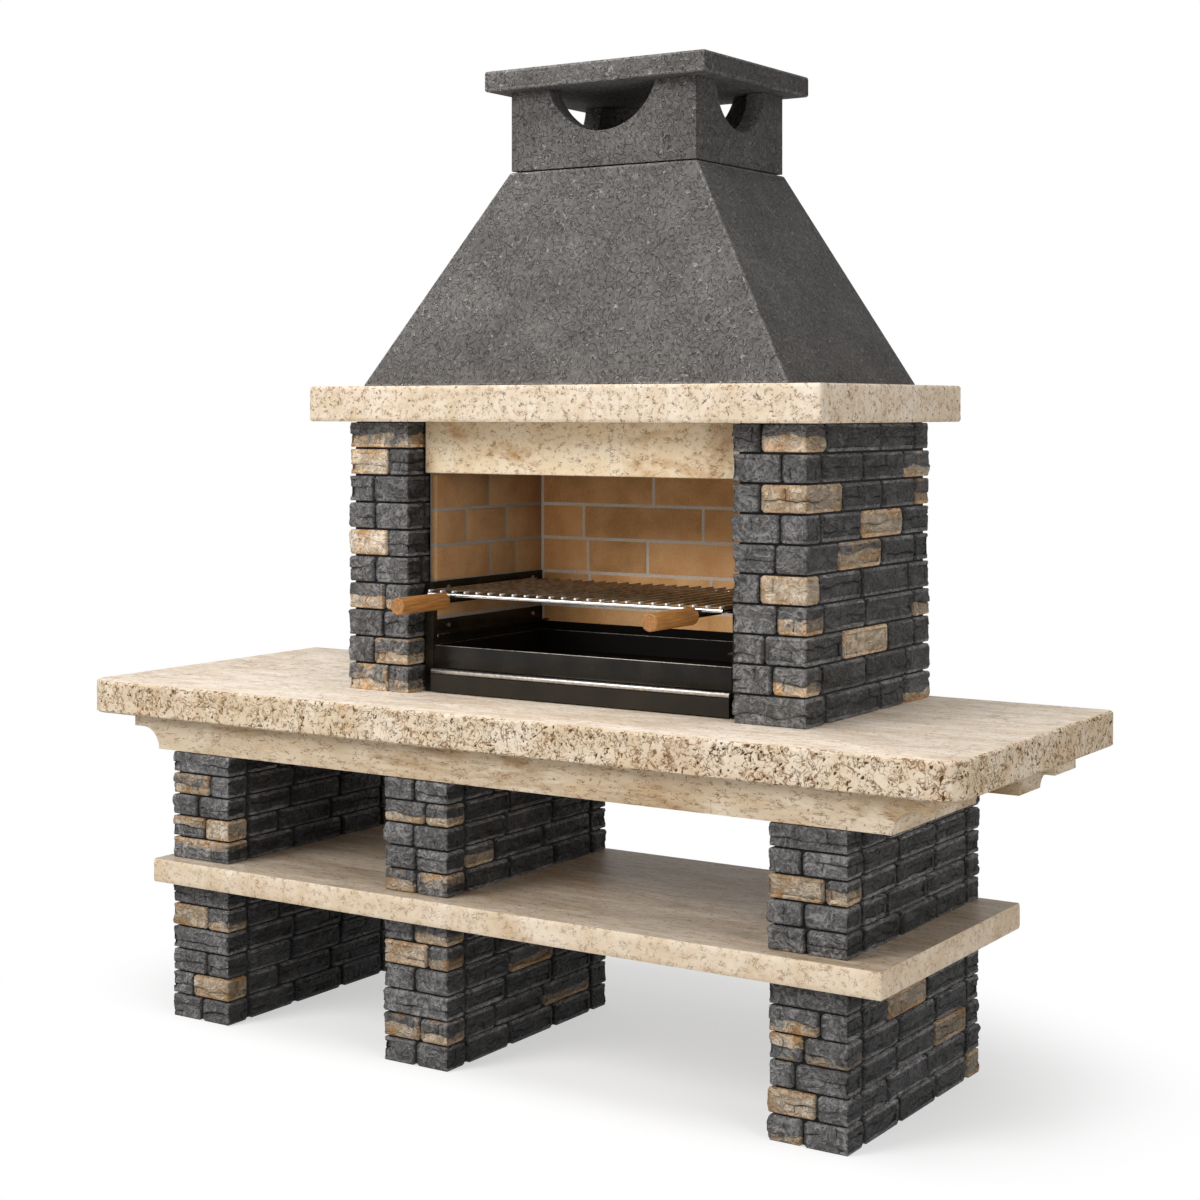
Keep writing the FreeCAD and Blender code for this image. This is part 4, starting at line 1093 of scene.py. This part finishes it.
# %% Charcoal tray with a painted highlight on its rim
SHEET, RIM_HIGHLIGHT_BAND = 3 * MM, 1.2 * MM
tray_low, tray_high = corners("charcoal_tray")
tray = block("pressed_charcoal_tray", tray_low, tray_high)
select(tray, "FACE", lambda face: face.normal.z > 0.9)
bpy.ops.mesh.inset(thickness=SHEET)
bpy.ops.mesh.extrude_region_move(TRANSFORM_OT_translate={"value": (0, 0, tray_low.z + SHEET - tray_high.z)})
deselect_all()
ease_edges(tray, 1.0 * MM, 2)
smooth(tray)
finish_piece(tray, enamel, "tray", "black_enamel", "charcoal_tray")
rim_highlight_steel = make_steel("bare_steel_rim_highlight", "#77716a", "#a8a29a", 0.3, 0.5, 9)
tray.data.materials.append(rim_highlight_steel)
tray.data.materials.append(sooted_enamel)
for face in tray.data.polygons:
    inside = all(tray_low[axis] + 2 * MM < face.center[axis] < tray_high[axis] - 2 * MM for axis in (0, 1))
    # Painted highlight: the faces at the top of the rim get the pale steel
    worn = face.center.z > tray_high.z - RIM_HIGHLIGHT_BAND
    face.material_index = 1 if worn else 2 if inside and face.center.z > tray_low.z + 2 * MM else 0

# %% [markdown]
# ## Turned wooden grips
# Each grip is a short turned cylinder of oiled beech with rounded ends and a shallow ring on its front. A drum is
# the start. Its front face is inset for the ring and the ends are eased, as sandpaper would.

# %% Material and shape of the grips
def make_beech():
    # Oiled beech: warm orange-brown, grain along the grip about 4 mm wide, short dark flecks.
    material, tree, place = new_material("oiled_beech", roughness=0.48, ior=1.5)
    along = add(tree, "Mapping", {"Vector": place, "Scale": (1.0, 0.06, 1.0)})
    grain = add(tree, "TexNoise", pattern(along, 4, 5.0, 0.65))
    fleck = add(tree, "TexNoise", pattern(along, 1.6, 2.0))
    base = add(tree, "ValToRGB", [grain], [(0.28, "#784a21"), (0.5, "#9e6a34"), (0.7, "#bb8748")])
    dark = add(tree, "MapRange", span(fleck, 0.6, 0.75, 1.0, 0.72))
    body = add(tree, "VectorMath", [base, dark], operation="MULTIPLY")
    bump = add(tree, "Bump", {"Height": grain, "Strength": 0.15, "Distance": 0.5 * MM})
    return connect(material, base_color=body, normal=bump)


beech = make_beech()
RING_IN, RING_SLOPE, RING_DEPTH = 5 * MM, 1.5 * MM, 1 * MM  # from the edge, of each flank, of the ring


def turned_grip(name, node):
    low, high = corners(node)
    radius = (high.x - low.x) / 2
    grip = drum(name, (low + high) / 2, radius, high.y - low.y, "y", 40)
    select(grip, "FACE", lambda face: face.normal.y < -0.9)
    bpy.ops.mesh.inset(thickness=RING_IN)
    for depth in (-RING_DEPTH, RING_DEPTH):
        bpy.ops.mesh.inset(thickness=RING_SLOPE, depth=depth)
    deselect_all()
    ease_edges(grip, 2.5 * MM, 3, 50)
    smooth(grip, 50)
    finish_piece(grip, beech, "grill", "beech", node)


turned_grip("left_beech_grip", "left_handle_grip")
turned_grip("right_beech_grip", "right_handle_grip")

# %% [markdown]
# ## Floor, light and camera
# The barbecue stands on a pale studio floor that fades to white. One large soft lamp stands front left, a
# weaker one on the right, and one above. The camera is level, as in the photograph: its shift frames the object.

# %% Studio floor and sky
SHADOW_VEIL = 0.52  # light of its own that the paper adds where the shadow falls, so that the shadow stays pale
SKY_LIGHT = 0.36  # what the sky adds to the lamps; to the eye it is plain white
OVAL_DEPTH = 0.66  # of the oval in which the shadow shows, for a width of 1
FADE_FROM, FADE_TO = 0.82, 1.5  # metres from the middle, along the width


def make_floor():
    # Matt white studio paper: near the object it keeps the shadow, further out it is plain white to the eye.
    material, tree, place = new_material("white_paper", base_color=colour("#bbbbbb"), roughness=1.0, specular=0.0)
    footprint = add(tree, "Mapping", {"Vector": place, "Scale": (1.0, 1 / OVAL_DEPTH, 1.0)})
    reach = add(tree, "VectorMath", [footprint], operation="LENGTH")
    far = add(tree, "MapRange", span(reach, FADE_FROM, FADE_TO), interpolation_type="SMOOTHSTEP")
    path = add(tree, "LightPath")
    rays = [path.outputs["Is %s Ray" % kind] for kind in ("Camera", "Glossy")]
    seen = add(tree, "Math", rays, operation="ADD", use_clamp=True)
    white = add(tree, "Math", [far, seen], operation="MULTIPLY")
    veil = add(tree, "Math", [seen, SHADOW_VEIL], operation="MULTIPLY")
    haze = add(tree, "Emission", {"Color": colour(1), "Strength": veil})
    paper = add(tree, "AddShader", [tree.nodes["Principled BSDF"], haze])
    glow = add(tree, "Emission", {"Color": colour(1), "Strength": 1.0})
    blend = add(tree, "MixShader", [white, paper, glow])
    tree.links.new(output(blend), tree.nodes["Material Output"].inputs["Surface"])
    return material


deselect_all()
bpy.ops.mesh.primitive_plane_add(size=24)
floor = bpy.context.object
floor.name = "studio_floor"
floor.data.materials.append(make_floor())

world = bpy.data.worlds.new("studio_sky")
bpy.context.scene.world = world
world.use_nodes = True
sky = world.node_tree
path = add(sky, "LightPath")
rays = [path.outputs["Is %s Ray" % kind] for kind in ("Camera", "Transmission", "Glossy")]
direct = add(sky, "Math", rays[:2], operation="ADD")
plain = add(sky, "Math", [direct, rays[2]], operation="ADD", use_clamp=True)
level = add(sky, "MapRange", span(plain, 0.0, 1.0, SKY_LIGHT, 1.0))
backdrop = sky.nodes["Background"]
backdrop.inputs["Color"].default_value = colour(1)
sky.links.new(output(level), backdrop.inputs["Strength"])
print("floor and sky set")


# %% Lamps and camera
def lamp(name, place, aim, size, power):
    deselect_all()
    bpy.ops.object.light_add(type="AREA", location=place)
    light = bpy.context.object
    light.name = name
    light.data.shape = "DISK"
    light.data.size = size
    light.data.energy = power
    light.rotation_euler = (Vector(aim) - Vector(place)).to_track_quat("-Z", "Y").to_euler()


lamp("key_lamp", (-2.6, -5.2, 4.4), aim=(0, 0, 0.9), size=3.4, power=295)
lamp("fill_lamp", (5.0, -2.6, 1.5), aim=(0.3, 0, 0.9), size=2.4, power=84)
lamp("top_lamp", (0.0, -0.8, 5.6), aim=(0, 0, 0.7), size=3.4, power=125)

# The camera was solved from the corners seen in the photograph.
camera_data = bpy.data.cameras.new("photo_camera")
camera = bpy.data.objects.new("photo_camera", camera_data)
bpy.context.collection.objects.link(camera)
camera.location = (2.601, -3.885, 1.3626)
camera.rotation_euler = (math.radians(90), 0, math.radians(33.09))
camera_data.lens = 64.49
camera_data.sensor_width = 36
camera_data.shift_y = -0.1593
bpy.context.scene.camera = camera
bpy.context.scene.view_settings.view_transform = "Standard"
